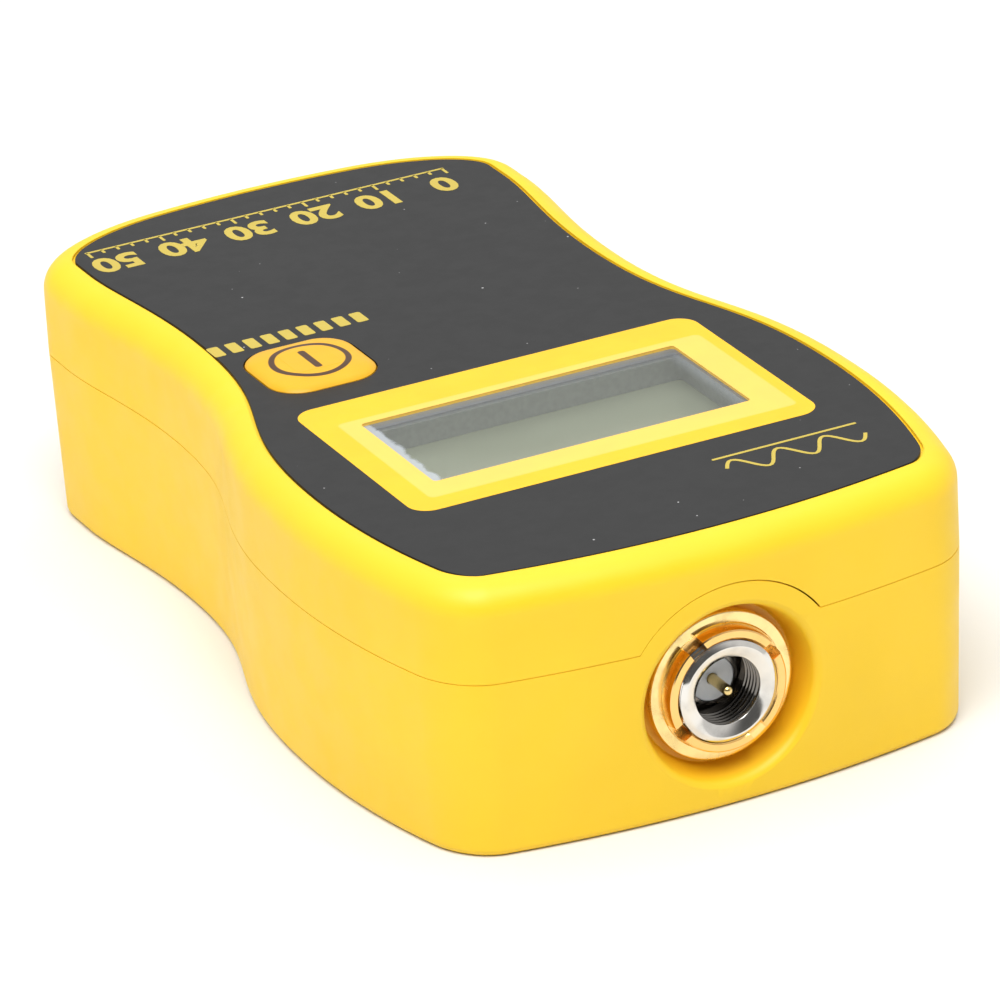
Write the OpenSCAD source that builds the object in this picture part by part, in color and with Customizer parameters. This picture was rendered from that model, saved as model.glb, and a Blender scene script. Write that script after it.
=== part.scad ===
// Hand-held RF power meter and frequency counter, in millimetres.
// +Y points to the end with the coaxial socket, +Z out of the front panel, and +X to the
// right of a reader who holds it socket up. The origin is the middle of the case's base.

/* [Case] */
// Length of the case, from tail to socket end
case_length = 95; // [92:1:105]
// Height of the case, from base to the rim round the front panel
case_height = 25; // [24.8:0.1:26]
// Width of the case at its widest, beside the display
head_width = 56.5; // [54:0.5:60]
// Width of the case at its waist
waist_width = 45; // [44:0.5:47]
// Width of the case at its tail
tail_width = 48.2; // [47:0.2:50]
// Radius of the bowed socket end
head_bow_radius = 104; // [80:1:140]
// Radius of the bowed tail end
tail_bow_radius = 92; // [70:1:120]
// Height of the parting line between the two shells
seam_height = 16.2; // [15.8:0.1:16.4]
// Thickness of the side walls
wall = 2; // [1.8:0.1:2.2]
// Thickness of the floor
floor_thickness = 2; // [2:0.1:2.2]
// Thickness of the roof
roof_thickness = 2; // [1.8:0.1:2]
// Radius of the rounded edge round the front panel
edge_radius = 2.8; // [2.6:0.1:3]

/* [Front panel] */
// Thickness of the printed film on the front
film_thickness = 0.3; // [0.2:0.05:0.4]
// Depth of the pocket that the film lies in
film_pocket = 0.4; // [0.4:0.05:0.5]
// Width of the clear window
window_width = 30.6; // [28:0.2:31]
// Length of the clear window
window_length = 14.3; // [13:0.1:15]
// Distance from the case's middle to the window's middle, towards the socket
window_y = 16.4; // [16:0.1:17]
// Width of the clear lens under the film
lens_width = 35.4; // [34:0.2:36]
// Length of the clear lens under the film
lens_length = 18.2; // [17.6:0.1:18.6]
// Side length of the square key
key_side = 10.2; // [9.6:0.1:10.6]
// Height of the key above the film
key_height = 0.7; // [0.5:0.1:1]
// Travel of the key
key_travel = 0.35; // [0.2:0.05:0.4]

/* [Coaxial socket] */
// Height of the socket's axis above the base
socket_z = 10.4; // [10.2:0.1:10.6]
// Radius of the well that the socket stands in
well_radius = 7.4; // [7.2:0.1:7.6]
// Radius of the arch of the lower shell round the well
arch_radius = 10.3; // [10:0.1:10.4]
// Radius of the threaded bore for a 1/4-36 plug
bore_radius = 3.2; // [3.1:0.05:3.25]
// Outer radius of the threaded barrel
barrel_radius = 4.6; // [4.4:0.05:4.7]
// Radius of the centre pin
pin_radius = 0.465; // [0.45:0.005:0.475]
// Radius of the ring nut's flange
nut_radius = 6.8; // [6.5:0.1:7]

/* [Battery bay] */
// Radius of one AAA cell
cell_radius = 5.2; // [5:0.05:5.25]
// Length of one AAA cell with its cap
cell_length = 44.5; // [43.5:0.1:44.5]
// Distance between the axes of neighbouring cells
cell_pitch = 10.8; // [10.6:0.1:10.9]
// Clearance round the sliding battery door
door_gap = 0.2; // [0.1:0.05:0.3]

/* [Hidden] */
$fn = 48;

tiny = 0.01;
through = 60;

// Panel outline: the line where the flat front meets the rounded edge
rim = edge_radius;
half_head = head_width / 2 - rim;
half_waist = waist_width / 2 - rim;
half_tail = tail_width / 2 - rim;
half_length = case_length / 2 - rim;
head_side_y = 21.3;
waist_y = -15.1;
tail_side_y = -34.5;
head_side_radius = 70;
head_corner = [20.2, 39.4];
tail_corner = [10, -37.6];
corner_pull = 0.56;

function bezier(a, b, c, d, t) =
    pow(1 - t, 3) * a + 3 * pow(1 - t, 2) * t * b + 3 * (1 - t) * t * t * c + pow(t, 3) * d;
function bezier_run(a, b, c, d, n) = [for (i = [1:n]) bezier(a, b, c, d, i / n)];
function sag(radius, x) = radius - sqrt(radius * radius - x * x);
function meet(p, u, q, v) =
    let (s = ((q.x - p.x) * v.y - (q.y - p.y) * v.x) / (u.x * v.y - u.y * v.x)) p + s * u;
function corner_run(p, u, q, v, n) =
    let (m = meet(p, u, q, v))
    bezier_run(p, p + corner_pull * (m - p), q + corner_pull * (m - q), q, n);

head_arc = [for (i = [0:4]) let (x = head_corner.x * i / 4)
    [x, half_length - sag(head_bow_radius, x)]];
head_side = [for (i = [0:4]) let (y = head_corner.y + (head_side_y - head_corner.y) * i / 4)
    [half_head - sag(head_side_radius, y - head_side_y), y]];
tail_arc = [for (i = [0:3]) let (x = tail_corner.x * (1 - i / 3))
    [x, -half_length + sag(tail_bow_radius, x)]];
head_corner_run = corner_run(
    head_arc[4], [1, -head_corner.x / head_bow_radius],
    head_side[0], [-(head_corner.y - head_side_y) / head_side_radius, 1], 6);
waist_in = bezier_run(
    [half_head, head_side_y], [half_head, head_side_y - 19.6],
    [half_waist, waist_y + 18.4], [half_waist, waist_y], 8);
waist_out = bezier_run(
    [half_waist, waist_y], [half_waist, waist_y - 9],
    [half_tail, tail_side_y + 5], [half_tail, tail_side_y], 6);
tail_corner_run = corner_run(
    [half_tail, tail_corner.y], [0, -1], tail_arc[0], [1, tail_corner.x / tail_bow_radius], 8);
right_side = concat(
    head_arc, head_corner_run,
    [for (i = [1:4]) head_side[i]],
    waist_in, waist_out, [[half_tail, tail_corner.y]], tail_corner_run,
    [for (i = [1:3]) tail_arc[i]]);
right_count = len(right_side);
// Anticlockwise seen from above: up the right side, then down the left one
panel_line = concat(
    [for (i = [right_count - 1:-1:0]) right_side[i]],
    [for (i = [1:right_count - 2]) [-right_side[i].x, right_side[i].y]]);
line_count = len(panel_line);

function unit(v) = v / norm(v);
function edge_normal(i) =
    let (d = panel_line[(i + 1) % line_count] - panel_line[(i + line_count - 1) % line_count])
    unit([d.y, -d.x]);
line_normals = [for (i = [0:line_count - 1]) edge_normal(i)];
function grown(by) = [for (i = [0:line_count - 1]) panel_line[i] + by * line_normals[i]];

// Walls
inner = rim - wall;
lip = inner + 0.9;
lip_height = 1.2;
seam_gap = 0.1;
roof_z = case_height - roof_thickness;
pocket_z = case_height - film_pocket;
film_top = pocket_z + film_thickness;

// Socket
well_floor = case_length / 2 - 3.5;
well_back = well_floor - 2.4;
barrel_mouth = case_length / 2 - 0.8;
insulator_face = case_length / 2 - 4;
washer_thickness = 0.5;
spreader_thickness = 2;
spreader_front = well_back - washer_thickness;
flange_front = spreader_front - spreader_thickness;
flange_back = flange_front - 1.8;
flange_radius = 6;
socket_back = flange_back - 3;

// Battery bay
door_thickness = 1.8;
bay_low_y = -43;
bay_high_y = 7.4;
bay_half = cell_pitch + cell_radius + 0.4;
bay_wall = 1.2;
bay_foot = 2;
cell_z = floor_thickness + 0.15 + cell_radius;
bay_roof = cell_z + cell_radius + 0.25;
bay_top = bay_roof + 1;
plate_thickness = 0.4;
tongue = 0.8;
lug_x = cell_pitch;
lug_half = 1.2;
door_head = bay_high_y + 0.6;

// Board and what stands on it
board_z = bay_top + 1.4;
board_thickness = 1.6;
board_top = board_z + board_thickness;
board_head_y = flange_back - 0.3;
case_bosses = [[21.5, 33], [20.1, -35]];
board_bosses = [[21.3, 9], [15.5, -27]];
case_boss_radius = 2.7;
board_boss_radius = 2.3;
case_screw_radius = 1.2;
board_screw_radius = 0.9;
screw_well_radius = 2;
screw_seat = 6;
key_gap = 0.15;
key_x = 13.4;
key_y = -4.6;
key_corner = 3.1;
lens_x = -0.6;
lens_y = window_y + 0.95;
lens_thickness = 1;
switch_top = board_top + 3.6;
plunger_top = board_top + 4.2;

module both_sides() {
    children();
    mirror([1, 0, 0]) children();
}

module at_each(places) {
    for (p = places, side = [-1, 1]) translate([side * p.x, p.y, 0]) children();
}

module slab(grow, z0, z1) {
    translate([0, 0, z0]) linear_extrude(z1 - z0) polygon(grown(grow));
}

// Rounded rectangle from two bars and four corner discs
module plate(w, l, r, h) {
    linear_extrude(h) union() {
        square([w - 2 * r, l], center = true);
        square([w, l - 2 * r], center = true);
        for (x = [-1, 1], y = [-1, 1])
            translate([x * (w / 2 - r), y * (l / 2 - r)]) circle(r);
    }
}

module box(x0, y0, z0, x1, y1, z1) {
    translate([x0, y0, z0]) cube([x1 - x0, y1 - y0, z1 - z0]);
}

// Round bar along +Y on the socket's axis
module socket_rod(r, y0, y1, r2 = undef) {
    translate([0, y0, socket_z]) rotate([-90, 0, 0])
        cylinder(r1 = r, r2 = is_undef(r2) ? r : r2, h = y1 - y0);
}

// Solid skinned over copies of the outline, each [growth, height]
module loft(rings) {
    n = line_count;
    last = len(rings) - 1;
    points = [for (r = rings) for (p = grown(r[0])) [p.x, p.y, r[1]]];
    sides = [for (k = [0:last - 1]) for (i = [0:n - 1]) let (j = (i + 1) % n)
        [k * n + i, (k + 1) * n + i, (k + 1) * n + j, k * n + j]];
    polyhedron(points, concat(
        [[for (i = [0:n - 1]) i]], sides, [[for (i = [n - 1:-1:0]) last * n + i]]));
}

edge_rings = [for (a = [0:15:90]) [rim * cos(a), case_height - rim + rim * sin(a)]];
base_rings = [[1.5, 0], [2.05, 0.3], [2.3, 1]];

// Whole outside of the case, both shells in one
module case_form() {
    loft(concat(base_rings, [[rim, seam_height]], edge_rings));
}

module bay_walls() {
    box(-bay_half - bay_wall, bay_low_y - bay_wall, floor_thickness - tiny,
        bay_half + bay_wall, bay_high_y + bay_wall, bay_top);
    box(-bay_half - bay_foot, bay_low_y - bay_wall, floor_thickness - tiny,
        bay_half + bay_foot, bay_high_y + bay_wall, floor_thickness + 1.6);
}

module bay_space() {
    box(-bay_half, bay_low_y, -1, bay_half, bay_high_y, bay_roof);
    for (x = [-lug_x, lug_x]) {
        box(x - lug_half, bay_low_y, bay_roof - 1, x + lug_half, bay_low_y + 0.7, bay_top + 1);
        box(x - lug_half, bay_high_y - 0.7, bay_roof - 1, x + lug_half, bay_high_y, bay_top + 1);
    }
    // the door's way, open at the tail
    box(-bay_half - door_gap, -through, -1, bay_half + door_gap, door_head + door_gap,
        floor_thickness);
    both_sides() box(bay_half - 1, -through, 0.9, bay_half + tongue + door_gap,
        door_head + door_gap, floor_thickness + 0.1);
}

module bottom_shell() color("gold") difference() {
    intersection() {
        case_form();
        union() {
            difference() {
                union() {
                    box(-through, -through, -1, through, through, seam_height);
                    slab(lip, seam_height - 1, seam_height + lip_height);
                }
                slab(inner, floor_thickness, through);
            }
            socket_rod(arch_radius, well_back, through);
            bay_walls();
            at_each(case_bosses) translate([0, 0, 1])
                cylinder(r = case_boss_radius, h = seam_height - 1.2);
        }
    }
    bay_space();
    socket_rod(well_radius, well_floor, through);
    socket_rod(well_radius, case_length / 2 - 1.5, case_length / 2 + 0.1, well_radius + 1.3);
    socket_rod(barrel_radius + 0.1, 0, through);
    at_each(case_bosses) {
        translate([0, 0, -1]) cylinder(r = screw_well_radius, h = screw_seat + 1);
        cylinder(r = case_screw_radius + 0.2, h = through);
    }
}

module top_shell() color("gold") difference() {
    union() {
        difference() {
            intersection() {
                case_form();
                box(-through, -through, seam_height + seam_gap, through, through, through);
            }
            slab(inner, 0, roof_z);
        }
        at_each(case_bosses) translate([0, 0, seam_height + lip_height + 0.2])
            cylinder(r = case_boss_radius, h = roof_z - seam_height - lip_height);
        at_each(board_bosses) translate([0, 0, board_top])
            cylinder(r = board_boss_radius, h = roof_z - board_top + 0.2);
    }
    slab(lip + 0.15, 0, seam_height + lip_height + 0.15);
    socket_rod(arch_radius + 0.1, well_back - 0.1, through);
    slab(0, pocket_z, through);
    translate([lens_x, lens_y, 0]) plate(lens_width + 0.2, lens_length + 0.2, 0.8, through);
    key_hole();
    at_each(case_bosses) cylinder(r = case_screw_radius + 0.02, h = roof_z - 0.5);
    at_each(board_bosses) cylinder(r = board_screw_radius + 0.02, h = roof_z - 0.5);
}

module key_hole() {
    translate([key_x, key_y, 0])
        plate(key_side + 2 * key_gap, key_side + 2 * key_gap, key_corner + key_gap, through);
}

module front_film() color([0.1, 0.1, 0.1]) difference() {
    slab(-0.12, pocket_z, film_top);
    translate([0, window_y, 0]) plate(window_width, window_length, 0.4, through);
    key_hole();
}

module display_lens() color([0.9, 0.95, 1, 0.4])
    translate([lens_x, lens_y, pocket_z - lens_thickness])
        plate(lens_width, lens_length, 0.7, lens_thickness);

// Display, from the board up: strips, cell, and the holder round both
lcd_width = 34;
lcd_length = 18;
lcd_thickness = 2;
lcd_z = board_top + 2.6;
holder_wall = 1.3;

module lcd_cell() color([0.62, 0.65, 0.6]) {
    translate([0, window_y, lcd_z + lcd_thickness / 4])
        cube([lcd_width, lcd_length, lcd_thickness / 2], center = true);
    translate([0, window_y + 0.8, lcd_z + lcd_thickness * 3 / 4])
        cube([lcd_width, lcd_length - 1.6, lcd_thickness / 2], center = true);
}

module lcd_holder() color("white") difference() {
    translate([0, window_y, board_top])
        plate(lcd_width + 2 * holder_wall + 0.4, lcd_length + 2 * holder_wall + 0.4, 0.8,
            lcd_z + lcd_thickness + 0.4 - board_top);
    translate([0, window_y, 0])
        translate([-lcd_width / 2 - 0.1, -lcd_length / 2 - 0.1, lcd_z])
            cube([lcd_width + 0.2, lcd_length + 0.2, through]);
    translate([0, window_y, 0])
        translate([-lcd_width / 2 + 1, -lcd_length / 2 + 0.4, 0])
            cube([lcd_width - 2, lcd_length - 0.8, through]);
}

module zebra_strips() color("pink") for (side = [-1, 1])
    translate([0, window_y + side * (lcd_length / 2 - 1.6), (board_top + lcd_z) / 2])
        cube([lcd_width - 4, 2, lcd_z - board_top], center = true);

module main_board() color("darkgreen") difference() {
    intersection() {
        slab(-0.8, board_z, board_top);
        box(-through, -through, 0, through, board_head_y, through);
    }
    at_each(case_bosses) cylinder(r = case_boss_radius + 0.5, h = through);
    at_each(board_bosses) cylinder(r = board_screw_radius + 0.2, h = through);
}

// Flat chip with its leads: count leads down each of the two long sides, or all four sides
module chip(w, l, h, count, pitch, sides) {
    translate([0, 0, h / 2 + 0.1]) cube([w, l, h], center = true);
    for (turn = [0:sides - 1]) rotate([0, 0, turn * 360 / sides])
        for (i = [0:count - 1])
            translate([w / 2 + 0.5, (i - (count - 1) / 2) * pitch, 0.3])
                cube([1.2, pitch * 0.45, 0.6], center = true);
}

module counter_chip() color([0.12, 0.12, 0.13])
    translate([-8, -8, board_top]) chip(9, 9, 1.5, 10, 0.8, 4);

module prescaler_chip() color([0.12, 0.12, 0.13])
    translate([-3, 31.9, board_top]) chip(3.9, 4.9, 1.3, 4, 1.27, 2);

module crystal_can() color("silver") translate([-9, -21.5, board_top]) {
    plate(11.5, 4.8, 2.3, 0.5);
    translate([0, 0, 0.5]) plate(10.6, 3.9, 1.9, 3);
}

small_parts = [[6, -12], [9, -12], [12, -12], [6, -15.5], [9, -15.5], [-17, -16], [-17, -19],
    [2, 30.5], [2, 33.5], [5, 30.5], [5, 33.5], [-1, -31], [2, -31], [-4, -31]];
module chip_parts() color("tan") for (p = small_parts)
    translate([p.x, p.y, board_top + 0.4]) cube([2, 1.25, 0.8], center = true);

module filter_capacitors() color([0.2, 0.25, 0.35]) for (y = [-20, -28])
    translate([7, y, board_top]) {
        translate([0, 0, 0.3]) cube([5.3, 5.3, 0.6], center = true);
        cylinder(r = 2.5, h = 4.8);
    }

module voltage_regulator() color([0.12, 0.12, 0.13]) translate([-9, -34, board_top]) {
    translate([0, 0, 0.8]) cube([4.5, 2.5, 1.4], center = true);
    for (x = [-1.5, 0, 1.5]) translate([x, -1.7, 0.2]) cube([0.45, 1.2, 0.4], center = true);
    translate([0, 1.6, 0.2]) cube([1.7, 1, 0.4], center = true);
}

module shield_can() color("silver") translate([1, 31.9, board_top]) difference() {
    plate(22, 9.2, 0.8, 3.2);
    translate([0, 0, -1]) plate(21.4, 8.6, 0.5, 3.9);
}

plunger_radius = 1.75;
module switch_body() color([0.15, 0.15, 0.15]) translate([key_x, key_y, 0]) difference() {
    union() {
        translate([0, 0, board_top]) plate(6, 6, 0.3, switch_top - board_top);
        for (x = [-1, 1], y = [-1, 1]) translate([x * 3.4, y * 2.2, board_top + 0.15])
            cube([1.4, 0.7, 0.3], center = true);
    }
    translate([0, 0, switch_top - 1.4]) cylinder(r = plunger_radius + 0.1, h = 2);
}

module switch_plunger() color([0.85, 0.82, 0.75]) translate([key_x, key_y, switch_top - 0.8])
    cylinder(r = plunger_radius, h = plunger_top - switch_top + 0.8);

key_collar_z = roof_z - 0.2;
module key_cap() color("gold") translate([key_x, key_y, 0]) {
    translate([0, 0, key_collar_z - tiny])
        plate(key_side, key_side, key_corner, film_top - key_collar_z + 0.1);
    translate([0, 0, film_top + 0.1 - tiny])
        plate(key_side - 0.7, key_side - 0.7, key_corner - 0.35, key_height / 2 - 0.1);
    translate([0, 0, film_top + key_height / 2 - tiny])
        plate(key_side - 1.6, key_side - 1.6, key_corner - 0.8, key_height / 2);
    translate([0, 0, key_collar_z - 0.8]) plate(12.4, 12.4, key_corner + 0.9, 0.8);
    translate([0, 0, plunger_top]) cylinder(r = 2.2, h = key_collar_z - plunger_top);
}

module socket_barrel() color("silver") difference() {
    union() {
        socket_rod(barrel_radius, flange_front - tiny, barrel_mouth - 0.35);
        socket_rod(barrel_radius, barrel_mouth - 0.35 - tiny, barrel_mouth, barrel_radius - 0.35);
        socket_rod(flange_radius, flange_back, flange_front);
        socket_rod(3.1, socket_back, flange_back + tiny);
    }
    difference() {
        socket_rod(bore_radius, insulator_face - 0.9, through);
        socket_rod(2.4, 0, insulator_face);
    }
    socket_rod(bore_radius, barrel_mouth - 0.45, barrel_mouth + tiny, bore_radius + 0.75);
    socket_rod(2.05, 0, through);
}

nut_slot = 1.5;
nut_slot_turn = 58.6;
module socket_ring_nut() color("goldenrod") difference() {
    union() {
        socket_rod(nut_radius, well_floor, well_floor + 0.8);
        socket_rod(nut_radius, well_floor + 0.8 - tiny, well_floor + 1.1, nut_radius - 0.3);
        socket_rod(5.9, well_floor, well_floor + 2.1);
        socket_rod(5.9, well_floor + 2.1 - tiny, well_floor + 2.4, 5.6);
    }
    socket_rod(barrel_radius + 0.02, 0, through);
    translate([0, well_floor + 1.2, socket_z]) rotate([-90, 0, 0])
        for (turn = [0:90:270]) rotate([0, 0, -nut_slot_turn + turn])
            translate([4, -nut_slot / 2, 0]) cube([4, nut_slot, 3]);
}

module socket_insulator() color("white") difference() {
    socket_rod(2.05, socket_back, insulator_face - 0.05);
    socket_rod(0.66, 0, through);
}

pin_length = 2.6;
module socket_pin() color("goldenrod") {
    socket_rod(0.65, socket_back - 2.6, insulator_face - 0.05);
    socket_rod(pin_radius, insulator_face - 0.05 - tiny, insulator_face + pin_length);
    translate([0, insulator_face + pin_length, socket_z]) sphere(pin_radius);
}

module socket_lock_washer() color("silver")
    translate([0, spreader_front, socket_z]) rotate([-90, 0, 0]) difference() {
        linear_extrude(washer_thickness) union() {
            difference() {
                circle(6.4);
                circle(5.5);
            }
            for (turn = [0:30:330]) rotate(turn) translate([5.25, 0])
                square([0.9, 1.3], center = true);
        }
    }

// Load: a flanged resistor on a heat spreader that the socket's flange clamps to the wall
spreader_top = floor_thickness + spreader_thickness;
load_y = 22;
load_flange_top = spreader_top + 1.6;
tab_z = load_flange_top + 1;
module load_bracket() color("lightgrey") difference() {
    union() {
        box(-14, 11, floor_thickness, 14, spreader_front, spreader_top);
        box(-9, flange_front, floor_thickness, 9, spreader_front, bay_top + 1);
    }
    socket_rod(barrel_radius + 0.1, flange_front - 1, through);
    for (x = [-9.2, 9.2]) translate([x, load_y, floor_thickness - 1])
        cylinder(r = 1.27, h = through);
}

module load_flange() color("peru") difference() {
    translate([0, load_y, spreader_top]) plate(24.8, 9.5, 0.5, 1.6);
    for (x = [-9.2, 9.2]) translate([x, load_y, 0]) cylinder(r = 1.6, h = through);
}

module load_resistor() color("white")
    translate([0, load_y, load_flange_top + 1.5]) cube([9.5, 9.5, 3], center = true);

// Tab from the resistor, stepped up to the socket's rear pin
module load_tab() color("silver") {
    box(-1.5, load_y + 4.75, tab_z, 1.5, load_y + 8, tab_z + 0.3);
    box(-1.5, load_y + 7.7, tab_z, 1.5, load_y + 8, socket_z - 0.65);
    box(-1.5, load_y + 7.7, socket_z - 0.95, 1.5, socket_back - 0.6, socket_z - 0.65);
}

module load_screws() color("silver") for (x = [-9.2, 9.2]) translate([x, load_y, 0])
    difference() {
        union() {
            translate([0, 0, floor_thickness + 0.2])
                cylinder(r = 1.25, h = load_flange_top - floor_thickness);
            translate([0, 0, load_flange_top]) cylinder(r = 2.25, h = 1.5);
        }
        translate([0, 0, load_flange_top + 0.7]) cylinder(r = 1.15, h = 2, $fn = 6);
    }

module sample_lead() color("peru") translate([0, load_y + 8.8, socket_z - 0.65])
    cylinder(r = 0.4, h = board_z - socket_z + 0.65);

module battery_door() color("gold") difference() {
    intersection() {
        case_form();
        union() {
            box(-bay_half, -through, 0.1, bay_half, door_head, door_thickness + 0.1);
            both_sides() box(bay_half - 1, -through, 1.1, bay_half + tongue, door_head,
                door_thickness + 0.1);
        }
    }
    for (i = [0:5]) box(-7, -41 + i * 1.6, -1, 7, -40.2 + i * 1.6, 0.5);
}

// One cell lying along Y with its cap towards +Y or, turned, towards -Y
module battery_cell(place, turned) {
    cap_end = turned ? bay_low_y + plate_thickness : bay_high_y - plate_thickness;
    color("dimgray") translate([(place - 2) * cell_pitch, cap_end, cell_z])
        rotate([turned ? -90 : 90, 0, 0]) {
            cylinder(r = 1.9, h = 1.2);
            translate([0, 0, 1]) cylinder(r1 = cell_radius - 0.4, r2 = cell_radius, h = 0.4);
            translate([0, 0, 1.4 - tiny]) cylinder(r = cell_radius, h = cell_length - 1.4);
        }
}

// Conical spring of round wire, swept along a helix from its wide foot
spring_turns = 4;
spring_steps = 14;
wire_radius = 0.25;
wire_sides = 6;
spring_length = bay_high_y - bay_low_y - 2 * plate_thickness - cell_length;
function spring_at(i) =
    let (t = i / (spring_turns * spring_steps), r = 3.4 - 1.2 * t, a = 360 * spring_turns * t)
    [r * cos(a), r * sin(a), wire_radius + t * (spring_length - 2 * wire_radius)];
module spring() {
    count = spring_turns * spring_steps;
    points = [for (i = [0:count]) let (
        p = spring_at(i),
        ahead = unit(spring_at(min(i + 1, count)) - spring_at(max(i - 1, 0))),
        out = unit([p.x, p.y, 0]),
        up = cross(ahead, out))
        for (k = [0:wire_sides - 1])
            p + wire_radius * (cos(360 * k / wire_sides) * out + sin(360 * k / wire_sides) * up)];
    skin = [for (i = [0:count - 1]) for (k = [0:wire_sides - 1]) let (m = (k + 1) % wire_sides)
        [i * wire_sides + k, i * wire_sides + m,
            (i + 1) * wire_sides + m, (i + 1) * wire_sides + k]];
    ends = [[for (k = [wire_sides - 1:-1:0]) k],
        [for (k = [0:wire_sides - 1]) count * wire_sides + k]];
    polyhedron(points, concat(skin, ends));
}

module battery_springs() color("silver") {
    for (x = [-cell_pitch, cell_pitch])
        translate([x, bay_low_y + plate_thickness, cell_z]) rotate([-90, 0, 0]) spring();
    translate([0, bay_high_y - plate_thickness, cell_z]) rotate([90, 0, 0]) spring();
}

// Contact plate across x0 to x1, with a lug up to the board at x
module contact_plate(x0, x1, y, lug) {
    box(x0, y, cell_z - 4, x1, y + plate_thickness, cell_z + 4);
    if (!is_undef(lug))
        box(lug - 1, y, cell_z + 3, lug + 1, y + plate_thickness, board_z);
}

module battery_plates() color("silver") {
    contact_plate(-cell_pitch - 4, 4, bay_low_y, undef);
    contact_plate(cell_pitch - 4, cell_pitch + 4, bay_low_y, lug_x);
    contact_plate(-4, cell_pitch + 4, bay_high_y - plate_thickness, undef);
    contact_plate(-cell_pitch - 4, -cell_pitch + 4, bay_high_y - plate_thickness, -lug_x);
}

// Screw standing on its head: head radius, head height, shank radius, whole length
module cross_screw(head, head_h, shank, length) {
    difference() {
        union() {
            cylinder(r = head, h = head_h);
            cylinder(r = shank, h = length);
        }
        for (turn = [0, 90]) rotate([0, 0, turn])
            translate([-head * 0.6, -0.25, -1]) cube([head * 1.2, 0.5, 1.7]);
    }
}

module case_screws() color("silver") at_each(case_bosses)
    translate([0, 0, screw_seat - 1.5]) cross_screw(1.8, 1.5, case_screw_radius, 16);

module board_screws() color("silver") at_each(board_bosses)
    translate([0, 0, board_z - 1.2]) cross_screw(1.7, 1.2, board_screw_radius, 6.5);

bottom_shell();
top_shell();
front_film();
display_lens();
lcd_cell();
lcd_holder();
zebra_strips();
main_board();
counter_chip();
prescaler_chip();
crystal_can();
chip_parts();
filter_capacitors();
voltage_regulator();
shield_can();
switch_body();
switch_plunger();
key_cap();
socket_barrel();
socket_ring_nut();
socket_insulator();
socket_pin();
socket_lock_washer();
load_bracket();
load_flange();
load_resistor();
load_tab();
load_screws();
sample_lead();
battery_door();
battery_cell(1, false);  // battery_cell_1
battery_cell(2, true);  // battery_cell_2
battery_cell(3, false);  // battery_cell_3
battery_springs();
battery_plates();
case_screws();
board_screws();
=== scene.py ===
import math

import bmesh
import bpy
from bpy.props import FloatProperty, FloatVectorProperty, IntProperty, PointerProperty
from mathutils import Matrix, Vector
from mathutils.kdtree import KDTree


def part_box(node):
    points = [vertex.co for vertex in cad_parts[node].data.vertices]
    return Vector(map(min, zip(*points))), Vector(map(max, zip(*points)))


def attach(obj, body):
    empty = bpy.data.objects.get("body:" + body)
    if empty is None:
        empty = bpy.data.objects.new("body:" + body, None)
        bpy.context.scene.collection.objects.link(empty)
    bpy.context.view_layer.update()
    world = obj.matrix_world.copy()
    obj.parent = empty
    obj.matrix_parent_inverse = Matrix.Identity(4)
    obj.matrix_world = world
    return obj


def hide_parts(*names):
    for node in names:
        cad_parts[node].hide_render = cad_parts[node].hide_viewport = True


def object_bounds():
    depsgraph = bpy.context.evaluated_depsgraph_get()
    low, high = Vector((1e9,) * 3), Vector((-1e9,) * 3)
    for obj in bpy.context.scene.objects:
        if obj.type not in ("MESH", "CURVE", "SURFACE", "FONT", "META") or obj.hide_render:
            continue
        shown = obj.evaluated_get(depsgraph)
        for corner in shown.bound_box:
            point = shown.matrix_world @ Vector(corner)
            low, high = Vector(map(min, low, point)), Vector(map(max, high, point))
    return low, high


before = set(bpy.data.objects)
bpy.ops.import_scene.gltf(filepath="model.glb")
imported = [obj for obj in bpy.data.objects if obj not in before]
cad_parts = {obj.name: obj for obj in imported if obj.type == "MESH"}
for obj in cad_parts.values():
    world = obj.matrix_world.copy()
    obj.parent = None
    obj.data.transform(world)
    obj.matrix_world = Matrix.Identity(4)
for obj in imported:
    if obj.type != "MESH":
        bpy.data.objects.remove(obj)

bl_info = {
    "name": "Radio frequency power meter",
    "version": (1, 0, 0),
    "blender": (4, 5, 0),
    "location": "View3D > Sidebar > Meter",
    "description": "Models a hand-held power meter round its packed frame, with a studio stage",
    "category": "Add Mesh",
}

CAD_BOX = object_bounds()
MM = 0.001
FAR = 0.1
FULL_TURN = 2 * math.pi
ARCH_STEPS = 160

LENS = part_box("display_lens")
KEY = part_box("key_cap")
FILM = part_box("front_film")
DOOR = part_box("battery_door")
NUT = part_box("socket_ring_nut")
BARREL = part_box("socket_barrel")
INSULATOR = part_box("socket_insulator")
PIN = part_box("socket_pin")
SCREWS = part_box("case_screws")
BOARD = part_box("main_board")
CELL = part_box("lcd_cell")

SOCKET_Z = (NUT[0].z + NUT[1].z) / 2
LENS_WIDTH, LENS_DEPTH = LENS[1].x - LENS[0].x, LENS[1].y - LENS[0].y
HEAD_BOW = 104 * MM
WELL_BACK = 41.6 * MM
BOSS = 2.7 * MM
TONGUE = 0.8 * MM
UNDER_BORDER = 1.6 * MM
INK_ROOT = 0.01 * MM


def both_sides(*places):
    """Places given in millimetres on the right, and their twins on the left."""
    return [(side * x * MM, y * MM) for x, y in places for side in (1, -1)]


CASE_SCREWS = both_sides((21.5, 33), (20.1, -35))
BOARD_POSTS = both_sides((21.3, 9), (15.5, -27))


def middle(corners):
    return (corners[0] + corners[1]) / 2


def length(name, text, default):
    return FloatProperty(name=name, description=text, default=default, unit="LENGTH", precision=5)


def colour(name, text, default):
    return FloatVectorProperty(name=name, description=text, default=default, subtype="COLOR",
                               size=3, min=0, max=1)


def turn(name, text, degrees):
    return FloatProperty(name=name, description=text, default=math.radians(degrees),
                         subtype="ANGLE")


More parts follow.
